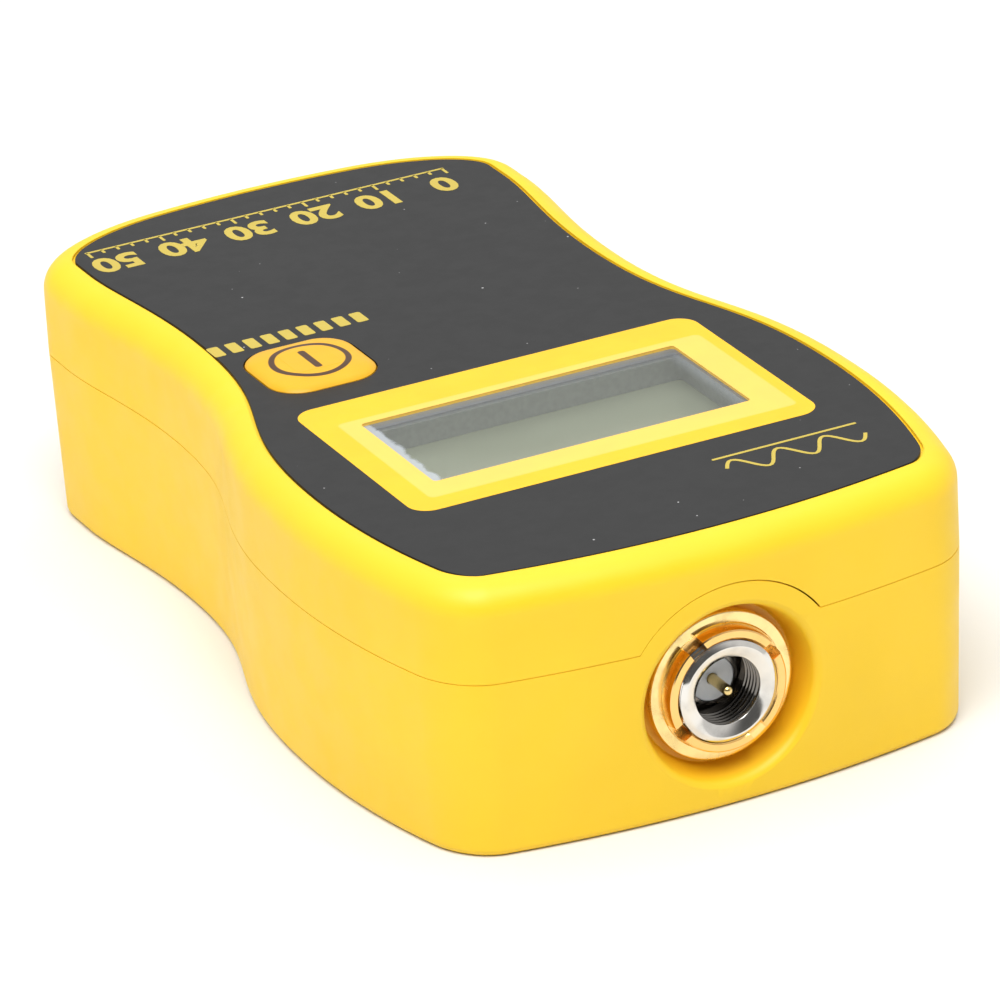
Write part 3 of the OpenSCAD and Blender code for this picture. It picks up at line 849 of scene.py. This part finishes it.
class METER_OT_bottom_shell(bpy.types.Operator):
    """Builds the lower shell, with its arch, well, battery bay and screw wells"""
    bl_idname = "meter.bottom_shell"
    bl_label = "Lower shell"

    def add_tongue(self, shell, case):
        """Thin tongue that fills the parting line just inside the wall, and the arch's gap."""
        line = outline(case, case.edge - 0.08 * MM)
        tongue = prism("tongue", line, case.seam - MM, case.seam + 0.098 * MM)
        punch(tongue, outline(case, case.edge - 1.2 * MM))
        cut(tongue, socket_rod(case.arch, 30 * MM))
        band = prism("band", line, 0, FAR)
        wall = socket_rod(case.arch + 0.02 * MM, 42 * MM)
        keep(wall, box("above", (-FAR, -FAR, case.seam), (FAR, FAR, FAR)))
        keep(band, wall)
        add(shell, tongue)
        add(shell, band)

    def cut_bay(self, shell, case):
        """Battery bay, open below, with the door's way and the grooves for its tongues."""
        half = DOOR[1].x - TONGUE
        low, high = -43 * MM, DOOR[1].y - 0.6 * MM
        top = BOARD[0].z - 1.4 * MM
        wall, gap = 1.2 * MM, 0.2 * MM
        head = DOOR[1].y + gap
        add(shell, box("bay_walls", (-half - wall, low - wall, case.floor * 0.5),
                       (half + wall, high + wall, top)))
        cut(shell, box("bay", (-half, low, -FAR), (half, high, top - MM)))
        cut(shell, box("way", (-half - gap, -FAR, -FAR), (half + gap, head, case.floor)))
        cut(shell, box("grooves", (-DOOR[1].x - gap, -FAR, 0.9 * MM),
                       (DOOR[1].x + gap, head, case.floor + 0.1 * MM)))

    def execute(self, context):
        case = context.scene.meter_case
        shell = case_form(case)
        lower = box("lower", (-FAR, -FAR, -FAR), (FAR, FAR, case.seam))
        add(lower, socket_rod(case.arch, WELL_BACK))
        keep(shell, lower)
        hollow = prism("hollow", outline(case, case.edge - case.wall), case.floor, FAR)
        cut(hollow, socket_rod(case.arch, WELL_BACK))
        cut(shell, hollow)
        self.add_tongue(shell, case)
        self.cut_bay(shell, case)
        add(shell, rods(BOSS, CASE_SCREWS, MM, case.seam - 0.2 * MM))
        cut(shell, rods(2 * MM, CASE_SCREWS, -MM, 6 * MM))
        cut(shell, rods(1.4 * MM, CASE_SCREWS, 5 * MM, FAR))
        cut(shell, well_cutter(case, context.scene.meter_socket.steps * 2))
        cut(shell, socket_rod(4.7 * MM, 30 * MM, 96))
        ease_seam(case, shell, case.seam)
        fit_moulding(shell, "bottom_shell_moulding", "case", "bottom_shell")
        return {"FINISHED"}


# ---- front

def key_outline(grow):
    side = 10.2 * MM + 2 * grow
    return rounded_box(side, side, 3.1 * MM + grow, middle(KEY), 12)


def window_outline(front, grow=0):
    return rounded_box(front.window_width + grow, front.window_length + grow, 0.4 * MM,
                       (0, front.window_y))


def lens_outline(grow, radius):
    return rounded_box(LENS_WIDTH + grow, LENS_DEPTH + grow, radius, middle(LENS))


class METER_OT_front_film(bpy.types.Operator):
    """Builds the black film with its window and key hole"""
    bl_idname = "meter.front_film"
    bl_label = "Front film"

    def execute(self, context):
        front = context.scene.meter_front
        edge = 0.08 * MM
        shoulder = FILM[1].z - edge
        sheet = prism("film", outline(context.scene.meter_case, -0.25 * MM), FILM[0].z, shoulder)
        step_in(sheet, shoulder, quarter_steps(edge, 3))
        punch(sheet, window_outline(front, UNDER_BORDER))
        punch(sheet, key_outline(0.15 * MM))
        fit(sheet, "front_film_sheet", "case", "film_black", film(front), "front_film")
        return {"FINISHED"}


def flat_mark(points, front):
    """Patch of ink on the film."""
    return prism("mark", points, FILM[1].z - INK_ROOT, FILM[1].z + front.ink)


def block_mark(width, depth, radius, x, y, front, arc_steps=3):
    """Rectangle of ink, its sizes and place in millimetres."""
    return flat_mark(rounded_box(width * MM, depth * MM, radius * MM, (x * MM, y * MM),
                                 arc_steps), front)


def number_mark(number, x, y, front):
    """Number in ink, read with the socket end up."""
    deselect()
    bpy.ops.object.text_add(location=(0, 0, 0))
    mark = bpy.context.active_object
    mark.data.body = str(number)
    mark.data.size = 4.6 * MM
    mark.data.align_x = "CENTER"
    mark.data.offset = 0.16 * MM
    mark.data.extrude = (front.ink + INK_ROOT) / 2
    mark.data.resolution_u = 4
    bpy.ops.object.convert(target="MESH")
    mark.location = (x * MM, y * MM, FILM[1].z + (front.ink - INK_ROOT) / 2)
    settle(mark)
    return mark


def wave_outline(left, middle_y, span, height, waves, line):
    """Outline of a sine wave drawn with a line of even width."""
    points = []
    turn = FULL_TURN * waves
    steps = 16 * waves
    for side, order in ((1, range(steps + 1)), (-1, reversed(range(steps + 1)))):
        for t in (i / steps for i in order):
            slope = height * math.cos(turn * t) * turn / span
            away = side * line / 2 / math.hypot(1, slope)
            points.append((left + span * t - away * slope,
                           middle_y + height * math.sin(turn * t) + away))
    return points[::-1]


class METER_OT_prints(bpy.types.Operator):
    """Prints the window's border and the generic legends on the film"""
    bl_idname = "meter.prints"
    bl_label = "Prints"

    def execute(self, context):
        front = context.scene.meter_front
        border = flat_mark(rounded_box(front.border_width, front.border_length, 2 * MM,
                                       (0, front.window_y)), front)
        punch(border, window_outline(front))
        liner = prism("liner", window_outline(front, UNDER_BORDER), FILM[0].z + 0.01 * MM,
                      FILM[1].z - 0.02 * MM)
        punch(liner, window_outline(front, 0.1 * MM))
        zone = (middle(LENS), LENS_WIDTH, LENS_DEPTH, 0.6 * MM)
        fit(join([border, liner], "border"), "window_border_print", "case", "key_plastic",
            ink("border_ink", front.print_yellow, zone))
        legend = ink("legend_ink", front.legend)

        # scale across the tail: a rule with ticks, and its numbers above
        rule_y = -39.4
        marks = [block_mark(36.6, 0.3, 0.1, 1.2, rule_y, front, 2)]
        for i in range(26):
            tall = 1.3 if i % 5 == 0 else 0.8
            marks.append(block_mark(0.28, tall, 0.1, -16.9 + 36.2 * i / 25, rule_y + tall / 2,
                                    front, 2))
        marks += [number_mark(10 * i, -15.4 + 33.2 * i / 5, -37.4, front) for i in range(6)]
        fit(join(marks, "scale"), "scale_print", "case", "key_plastic", legend)

        # level blocks under the key
        blocks = [block_mark(1.1, 2.2, 0.2, 12.05 + 1.75 * i, -12.05, front) for i in range(-4, 5)]
        fit(join(blocks, "level"), "level_print", "case", "key_plastic", legend)

        # wave and line beside the window
        wave = wave_outline(-20.1 * MM, 35 * MM, 13.4 * MM, 1.35 * MM, 3, 0.34 * MM)
        marks = [flat_mark(wave, front), block_mark(14, 0.32, 0.12, -13.45, 32.75, front)]
        fit(join(marks, "wave"), "wave_print", "case", "key_plastic", legend)
        return {"FINISHED"}


class METER_OT_key(bpy.types.Operator):
    """Builds the pillow-shaped key with its printed ring and bar"""
    bl_idname = "meter.key"
    bl_label = "Key"

    def execute(self, context):
        start = FILM[1].z
        foot, rise = start - 2.2 * MM, KEY[1].z - start
        key = prism("key", key_outline(0), foot, start)
        # how far in, and what share of the rise
        steps = [(0.10, 0.16), (0.16, 0.18), (0.22, 0.16), (0.30, 0.14), (0.40, 0.12),
                 (0.50, 0.09), (0.60, 0.07), (0.60, 0.05), (0.02, 0.03)]
        step_in(key, start, [(inward * MM, rise * share) for inward, share in steps])
        add(key, prism("collar", rounded_box(12.4 * MM, 12.4 * MM, 4 * MM, middle(KEY)),
                       foot - 0.1 * MM, foot + 0.6 * MM))
        add(key, rod(2.2 * MM, middle(KEY), KEY[0].z, foot + 0.1 * MM, 64))
        fit(key, "key_pillow", "key", "key_plastic",
            key_print(context.scene.meter_front.key_yellow), "key_cap", angle=35)
        return {"FINISHED"}


class METER_OT_display(bpy.types.Operator):
    """Builds the two-pane display, the clear window over it and the grey frame between them"""
    bl_idname = "meter.display"
    bl_label = "Display"

    def execute(self, context):
        low, high = CELL
        half = (low.z + high.z) / 2
        polariser = 0.15 * MM
        panes = box("back_pane", low, (high.x, high.y, half))
        add(panes, box("front_pane", (low.x, low.y + 0.5 * MM, half),
                       (high.x, high.y, high.z - polariser)))
        add(panes, box("polariser", (low.x + 0.4 * MM, low.y + 0.8 * MM, high.z - polariser),
                       (high.x - 0.4 * MM, high.y - 0.4 * MM, high.z)))
        bevel(panes, 0.08 * MM)
        fit(panes, "display_panes", "case", "lcd_glass", display_glass(), "lcd_cell")

        edge = 0.05 * MM
        lens = prism("lens", lens_outline(0, 0.7 * MM), LENS[0].z, LENS[1].z - edge)
        step_in(lens, LENS[1].z - edge, [(edge, edge)])
        fit(lens, "window_pane", "case", "lens_clear", clear_sheet(), "display_lens")

        frame_piece = prism("frame", rounded_box(33.8 * MM, 17.05 * MM, 0.6 * MM,
                                                 (0, 16.775 * MM)), CELL[1].z, LENS[0].z)
        punch(frame_piece, rounded_box(32 * MM, 15.9 * MM, 0.5 * MM, (-0.1 * MM, 16.95 * MM)))
        bevel(frame_piece, 0.03 * MM)
        fit(frame_piece, "dust_frame", "case", "strip_rubber",
            mottled("grey_foam", (0.29, 0.30, 0.28), (0.33, 0.34, 0.32), 1800, 0.7))
        return {"FINISHED"}


# ---- socket

def thread_ridge(radius, depth, pitch, y0, turns, steps):
    """Closed ridge of a thread: a small profile carried round and along the socket's axis."""
    half, crest = pitch * 0.42, 0.06 * MM
    profile = [(radius, y0 - half), (radius + depth, y0 - crest),
               (radius + depth, y0 + crest), (radius, y0 + half)]
    ridge = ring("ridge", profile, SOCKET_Z, filled=False)
    count = int(steps * turns)
    open_mesh(ridge, "VERT")
    select_all()
    bpy.ops.mesh.spin(steps=count, angle=FULL_TURN * turns, center=(0, 0, SOCKET_Z), axis=(0, 1, 0))
    close_mesh()
    for i, vertex in enumerate(ridge.data.vertices):
        vertex.co.y += pitch * turns * (i // len(profile)) / count
    open_mesh(ridge, "EDGE")
    select_all("DESELECT")
    bpy.ops.mesh.select_non_manifold()
    bpy.ops.mesh.edge_face_add()
    outwards()
    smooth(ridge, 35)
    return ridge


class METER_OT_ring_nut(bpy.types.Operator):
    """Turns the ring nut and cuts its four spanner slots"""
    bl_idname = "meter.ring_nut"
    bl_label = "Ring nut"

    def execute(self, context):
        settings = context.scene.meter_socket
        y0, y1 = NUT[0].y, NUT[1].y
        bore, outer = 4.62 * MM, NUT[1].x
        flange = y0 + 1.1 * MM
        nut = turned("nut", [
            (bore, y0), (outer - 0.1 * MM, y0), (outer, y0 + 0.1 * MM),
            (outer, flange - 0.25 * MM), (outer - 0.04 * MM, flange - 0.12 * MM),
            (outer - 0.12 * MM, flange - 0.04 * MM), (outer - 0.25 * MM, flange),
            (5.78 * MM, flange), (5.7 * MM, flange + 0.08 * MM), (5.6 * MM, y1 - 0.25 * MM),
            (5.54 * MM, y1 - 0.08 * MM), (5.42 * MM, y1), (4.85 * MM, y1),
            (bore, y1 - 0.22 * MM)], settings.steps)
        for quarter in range(4):
            slot = box("slot", (4 * MM, flange + 0.05 * MM, -0.75 * MM),
                       (8 * MM, y1 + MM, 0.75 * MM))
            angle = math.radians(58.6 + 90 * quarter)
            slot.matrix_world = (Matrix.Translation((0, 0, SOCKET_Z))
                                 @ Matrix.Rotation(-angle, 4, "Y"))
            settle(slot)
            cut(nut, slot)
        bevel(nut, 0.05 * MM, 50)
        # painted reflection: the boss is painted orange-gold, for the yellow case reflected in the
        # gold
        boss = (5.68 * MM, y1 + MM, (0.96, 0.58, 0.19))
        fit(nut, "ring_nut_turned", "case", "socket_gold",
            turned_metal("plated_gold", settings.gold, 0.12, 0.3, boss),
            "socket_ring_nut", angle=25)
        return {"FINISHED"}


class METER_OT_barrel(bpy.types.Operator):
    """Turns the socket's barrel and cuts its inner and outer threads"""
    bl_idname = "meter.barrel"
    bl_label = "Socket barrel"

    def execute(self, context):
        settings = context.scene.meter_socket
        y0, y1 = BARREL[0].y, BARREL[1].y
        face, flange = INSULATOR[1].y, BARREL[1].x
        neck, seat = 3.1 * MM, 2.06 * MM
        root, crest = 4.38 * MM, 4.6 * MM
        bore, sleeve = 3.42 * MM, 2.42 * MM
        barrel = turned("barrel", [
            (seat, y0), (neck, y0), (neck, y0 + 3 * MM), (flange, y0 + 3 * MM),
            (flange, y0 + 4.8 * MM), (root, y0 + 4.8 * MM), (root, y1 - 0.5 * MM),
            (crest, y1 - 0.36 * MM), (crest, y1 - 0.3 * MM), (4.24 * MM, y1 - 0.04 * MM),
            (4.14 * MM, y1), (4.04 * MM, y1 - 0.02 * MM), (3.16 * MM, y1 - 0.4 * MM),
            (neck, y1 - 0.46 * MM), (neck, y1 - 0.56 * MM), (bore, y1 - 0.8 * MM),
            (bore, face - 0.9 * MM), (sleeve, face - 0.9 * MM), (sleeve, face),
            (2.36 * MM, face + 0.05 * MM), (seat, face + 0.05 * MM)], settings.steps)
        smooth(barrel, 35)
        pitch = settings.thread_pitch
        outside = thread_ridge(root - 0.02 * MM, 0.2 * MM, pitch * 0.7, NUT[1].y - 1.9 * MM, 3.6,
                               settings.steps)
        inside = thread_ridge(bore + 0.02 * MM, -settings.thread_depth, pitch * 0.72,
                              face - 0.3 * MM, 5.3, settings.steps)
        # painted shade: the bore behind the barrel's mouth is painted near black
        painted_light_tint = (3.5 * MM, y1 - 0.5 * MM, (0.06, 0.05, 0.04))
        fit(join([barrel, outside, inside], "barrel"), "socket_barrel_turned", "case",
            "socket_nickel", turned_metal("plated_nickel", settings.nickel, 0.07, 0.22,
                                          painted_light_tint), "socket_barrel", angle=None)
        return {"FINISHED"}


class METER_OT_socket_core(bpy.types.Operator):
    """Turns the insulator and the rounded centre pin"""
    bl_idname = "meter.socket_core"
    bl_label = "Insulator and pin"

    def execute(self, context):
        settings = context.scene.meter_socket
        face, edge = INSULATOR[1].y, 0.06 * MM
        bore, radius = 0.5 * MM, INSULATOR[1].x - 0.02 * MM
        core = turned("insulator", [
            (bore, INSULATOR[0].y), (radius, INSULATOR[0].y), (radius, face - edge),
            (radius - edge, face), (bore + edge, face), (bore, face - edge)], settings.steps)
        fit(core, "insulator_turned", "case", "white_plastic",
            mottled("white_ptfe", (0.80, 0.83, 0.86), (0.86, 0.88, 0.90), 900, 0.42),
            "socket_insulator", angle=35)
        thin, tip = 0.465 * MM, PIN[1].y
        nose = [(thin * math.cos(a), tip - thin + thin * math.sin(a))
                for a in (math.radians(15 * i) for i in range(6))]
        pin = turned("pin", [(0, PIN[0].y), (thin, PIN[0].y)] + nose + [(0, tip)], 48)
        fit(pin, "centre_pin_turned", "case", "socket_gold",
            turned_metal("pin_gold", tint(settings.gold, 0.92), 0.14, 0.26), "socket_pin",
            angle=40)
        return {"FINISHED"}


# ---- underside

class METER_OT_battery_door(bpy.types.Operator):
    """Builds the sliding battery door with its tongues and grip ribs"""
    bl_idname = "meter.battery_door"
    bl_label = "Battery door"

    def execute(self, context):
        low, high = DOOR
        door = case_form(context.scene.meter_case)
        plate = box("plate", (low.x + TONGUE, -FAR, low.z), (high.x - TONGUE, high.y, high.z))
        add(plate, box("tongues", (low.x, -FAR, 1.1 * MM), (high.x, high.y, high.z)))
        keep(door, plate)
        for i in range(6):
            y = (-41 + 1.6 * i) * MM
            cut(door, box("groove", (-7 * MM, y, -MM), (7 * MM, y + 0.8 * MM, 0.5 * MM)))
        bevel(door, 0.12 * MM, 50)
        fit_moulding(door, "battery_door_moulding", "door", "battery_door")
        return {"FINISHED"}


class METER_OT_case_screws(bpy.types.Operator):
    """Turns one case screw, cuts its cross and copies it to the four wells"""
    bl_idname = "meter.case_screws"
    bl_label = "Case screws"

    def execute(self, context):
        low, high = SCREWS
        head, shank, tip = 1.8 * MM, 1.2 * MM, high.z - low.z
        screw = turned("screw", [
            (0, 0), (0.9 * MM, 0.02 * MM), (1.35 * MM, 0.12 * MM), (1.66 * MM, 0.32 * MM),
            (head, 0.62 * MM), (head, 1.5 * MM), (shank, 1.5 * MM), (shank, 15.4 * MM),
            (0.7 * MM, tip), (0, tip)], 48, (0, 0))
        for quarter in range(2):
            cross = box("cross", (-1.05 * MM, -MM, -0.22 * MM), (1.05 * MM, 0.75 * MM, 0.22 * MM))
            cross.rotation_euler = (0, math.radians(90 * quarter + 20), 0)
            settle(cross)
            cut(screw, cross)
        screw.rotation_euler = (math.radians(90), 0, 0)
        settle(screw)
        copies = [copy_of(screw, "screw", (x, y, low.z)) for x, y in CASE_SCREWS]
        bpy.data.objects.remove(screw)
        screws = join(copies, "screws")
        bevel(screws, 0.05 * MM, 50, 1)
        fit(screws, "case_screws_turned", "case", "screw_steel",
            mottled("zinc_plate", (0.62, 0.62, 0.60), (0.50, 0.50, 0.49), 900, 0.32, 1.0),
            "case_screws")
        return {"FINISHED"}


# two tones, scale of the mottle, roughness, metal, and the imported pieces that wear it
INNER_FINISHES = {
    "holder_white": ((0.78, 0.79, 0.78), (0.83, 0.84, 0.83), 700, 0.45, 0,
                     ["lcd_holder", "load_resistor"]),
    "rubber_strips": ((0.50, 0.24, 0.24), (0.42, 0.18, 0.18), 1500, 0.6, 0, ["zebra_strips"]),
    "epoxy_black": ((0.018, 0.018, 0.019), (0.03, 0.03, 0.03), 2600, 0.5, 0,
                    ["counter_chip", "prescaler_chip", "voltage_regulator", "switch_body"]),
    "tinned_steel": ((0.66, 0.66, 0.65), (0.58, 0.58, 0.57), 500, 0.3, 1,
                     ["crystal_can", "shield_can", "socket_lock_washer"]),
    "fired_ceramic": ((0.45, 0.34, 0.22), (0.38, 0.28, 0.18), 2200, 0.5, 0, ["chip_parts"]),
    "brushed_can": ((0.62, 0.63, 0.66), (0.55, 0.56, 0.60), 900, 0.28, 1, ["filter_capacitors"]),
    "plunger_nylon": ((0.72, 0.68, 0.58), (0.66, 0.62, 0.52), 900, 0.45, 0, ["switch_plunger"]),
    "tinned_copper": ((0.80, 0.50, 0.32), (0.72, 0.44, 0.28), 800, 0.35, 1,
                      ["load_flange", "load_tab", "sample_lead"]),
    "rolled_aluminium": ((0.68, 0.69, 0.70), (0.60, 0.61, 0.62), 400, 0.35, 1, ["load_bracket"]),
    "bright_steel": ((0.66, 0.66, 0.66), (0.56, 0.56, 0.56), 900, 0.3, 1,
                     ["load_screws", "board_screws"]),
    "spring_steel": ((0.72, 0.72, 0.69), (0.64, 0.64, 0.62), 900, 0.25, 1,
                     ["battery_springs", "battery_plates"]),
}


def wear(material, nodes):
    for node in nodes:
        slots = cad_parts[node].data.materials
        slots.clear()
        slots.append(material)


class METER_OT_inner_finishes(bpy.types.Operator):
    """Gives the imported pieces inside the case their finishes"""
    bl_idname = "meter.inner_finishes"
    bl_label = "Inner finishes"

    def execute(self, context):
        for name, (base, other, scale, rough, metal, nodes) in INNER_FINISHES.items():
            wear(mottled(name, base, other, scale, rough, metal), nodes)
        wear(board_mask(), ["main_board"])
        wear(cell_wrap(), ["battery_cell_1", "battery_cell_2", "battery_cell_3"])
        return {"FINISHED"}


# ---- stage

def softbox(name, place, width, depth, power):
    """White area light that faces the middle of the floor."""
    deselect()
    bpy.ops.object.light_add(type="AREA", location=place)
    light = bpy.context.active_object
    light.name = name
    light.data.shape = "RECTANGLE"
    light.data.size = width
    light.data.size_y = depth
    light.data.energy = power
    light.rotation_euler = (-Vector(place)).to_track_quat("-Z", "Y").to_euler()


class METER_OT_stage(bpy.types.Operator):
    """Sets the pale floor, the soft lights and the camera"""
    bl_idname = "meter.stage"
    bl_label = "Stage"

    def lay_floor(self, stage):
        deselect()
        bpy.ops.mesh.primitive_plane_add(size=8, location=(0, 0, 0))
        floor = bpy.context.active_object
        floor.name = "floor"
        paper = Finish("floor_paper")
        tone = paper.mix(paper.noise(8, 3), tint(stage.floor_white, 0.995), stage.floor_white)
        floor.data.materials.append(paper.surface(base_color=tone, roughness=0.9))

    def light_world(self, world, stage):
        """White surroundings with the dark end of a room low behind the camera."""
        world.use_nodes = True
        tree = world.node_tree
        place = tree.nodes.new("ShaderNodeTexCoord")
        along = tree.nodes.new("ShaderNodeVectorMath")
        along.operation = "DOT_PRODUCT"
        along.inputs[1].default_value = (math.sin(stage.azimuth), -math.cos(stage.azimuth), 0)
        shade = tree.nodes.new("ShaderNodeMapRange")
        shade.interpolation_type = "SMOOTHSTEP"
        for name, value in (("From Min", 0.35), ("From Max", 0.8), ("To Min", stage.sky),
                            ("To Max", 0.1)):
            shade.inputs[name].default_value = value
        background = tree.nodes["Background"]
        background.inputs["Color"].default_value = (1.0, 1.0, 1.0, 1.0)
        tree.links.new(place.outputs["Generated"], along.inputs[0])
        tree.links.new(along.outputs["Value"], shade.inputs["Value"])
        tree.links.new(shade.outputs["Result"], background.inputs["Strength"])

    def set_camera(self, stage):
        azimuth, elevation, roll = stage.azimuth, stage.elevation, stage.roll
        back = Vector((math.sin(azimuth) * math.cos(elevation),
                       -math.cos(azimuth) * math.cos(elevation), math.sin(elevation)))
        level = Vector((math.cos(azimuth), math.sin(azimuth), 0))
        right = level * math.cos(roll) + back.cross(level) * math.sin(roll)
        target = middle(CAD_BOX) + Vector((0.79, 5.94, 0)) * MM
        deselect()
        bpy.ops.object.camera_add(location=target + back * stage.distance)
        camera = bpy.context.active_object
        camera.name = "camera"
        camera.rotation_euler = Matrix((right, back.cross(right), back)).transposed().to_euler()
        camera.data.sensor_width = 36
        camera.data.lens = stage.focal
        camera.data.clip_start = 0.01
        camera.data.clip_end = 50
        camera.data.dof.use_dof = False
        bpy.context.scene.camera = camera

    def execute(self, context):
        scene = context.scene
        stage = scene.meter_stage
        self.lay_floor(stage)
        scene.world = bpy.data.worlds.new("surroundings")
        self.light_world(scene.world, stage)
        softbox("overhead_softbox", (-0.2, -0.3, 0.8), 0.8, 0.6, stage.key_power)
        softbox("front_softbox", (0.27, 0.38, 0.86), 0.7, 0.6, stage.front_power)
        self.set_camera(stage)
        scene.view_settings.view_transform = "Standard"
        scene.view_settings.look = "None"
        return {"FINISHED"}


class METER_OT_finishes(bpy.types.Operator):
    """Makes the finish that the case's mouldings share"""
    bl_idname = "meter.finishes"
    bl_label = "Case finish"

    def execute(self, context):
        moulded_plastic(context.scene.meter_case)
        return {"FINISHED"}


OPERATORS = (
    METER_OT_finishes, METER_OT_stage, METER_OT_top_shell, METER_OT_bottom_shell,
    METER_OT_front_film, METER_OT_prints, METER_OT_key, METER_OT_display, METER_OT_ring_nut,
    METER_OT_barrel, METER_OT_socket_core, METER_OT_battery_door, METER_OT_case_screws,
    METER_OT_inner_finishes,
)


class METER_PT_panel(bpy.types.Panel):
    """Lists the meter's pieces in the order they are made"""
    bl_idname = "METER_PT_panel"
    bl_label = "Power meter"
    bl_space_type = "VIEW_3D"
    bl_region_type = "UI"
    bl_category = "Meter"

    def draw(self, context):
        for operator in OPERATORS:
            self.layout.operator(operator.bl_idname)
        for name in GROUPS:
            settings = getattr(context.scene, name)
            for prop in settings.bl_rna.properties:
                if prop.identifier not in ("rna_type", "name"):
                    self.layout.prop(settings, prop.identifier)


GROUPS = {"meter_case": MeterCase, "meter_front": MeterFront, "meter_socket": MeterSocket,
          "meter_stage": MeterStage}
CLASSES = (*GROUPS.values(), *OPERATORS, METER_PT_panel)


def register():
    for made in CLASSES:
        bpy.utils.register_class(made)
    for name, group in GROUPS.items():
        setattr(bpy.types.Scene, name, PointerProperty(type=group))


def unregister():
    for name in GROUPS:
        delattr(bpy.types.Scene, name)
    for made in reversed(CLASSES):
        bpy.utils.unregister_class(made)


def main():
    register()
    for operator in OPERATORS:
        section, name = operator.bl_idname.split(".")
        getattr(getattr(bpy.ops, section), name)()


if __name__ == "__main__":
    main()
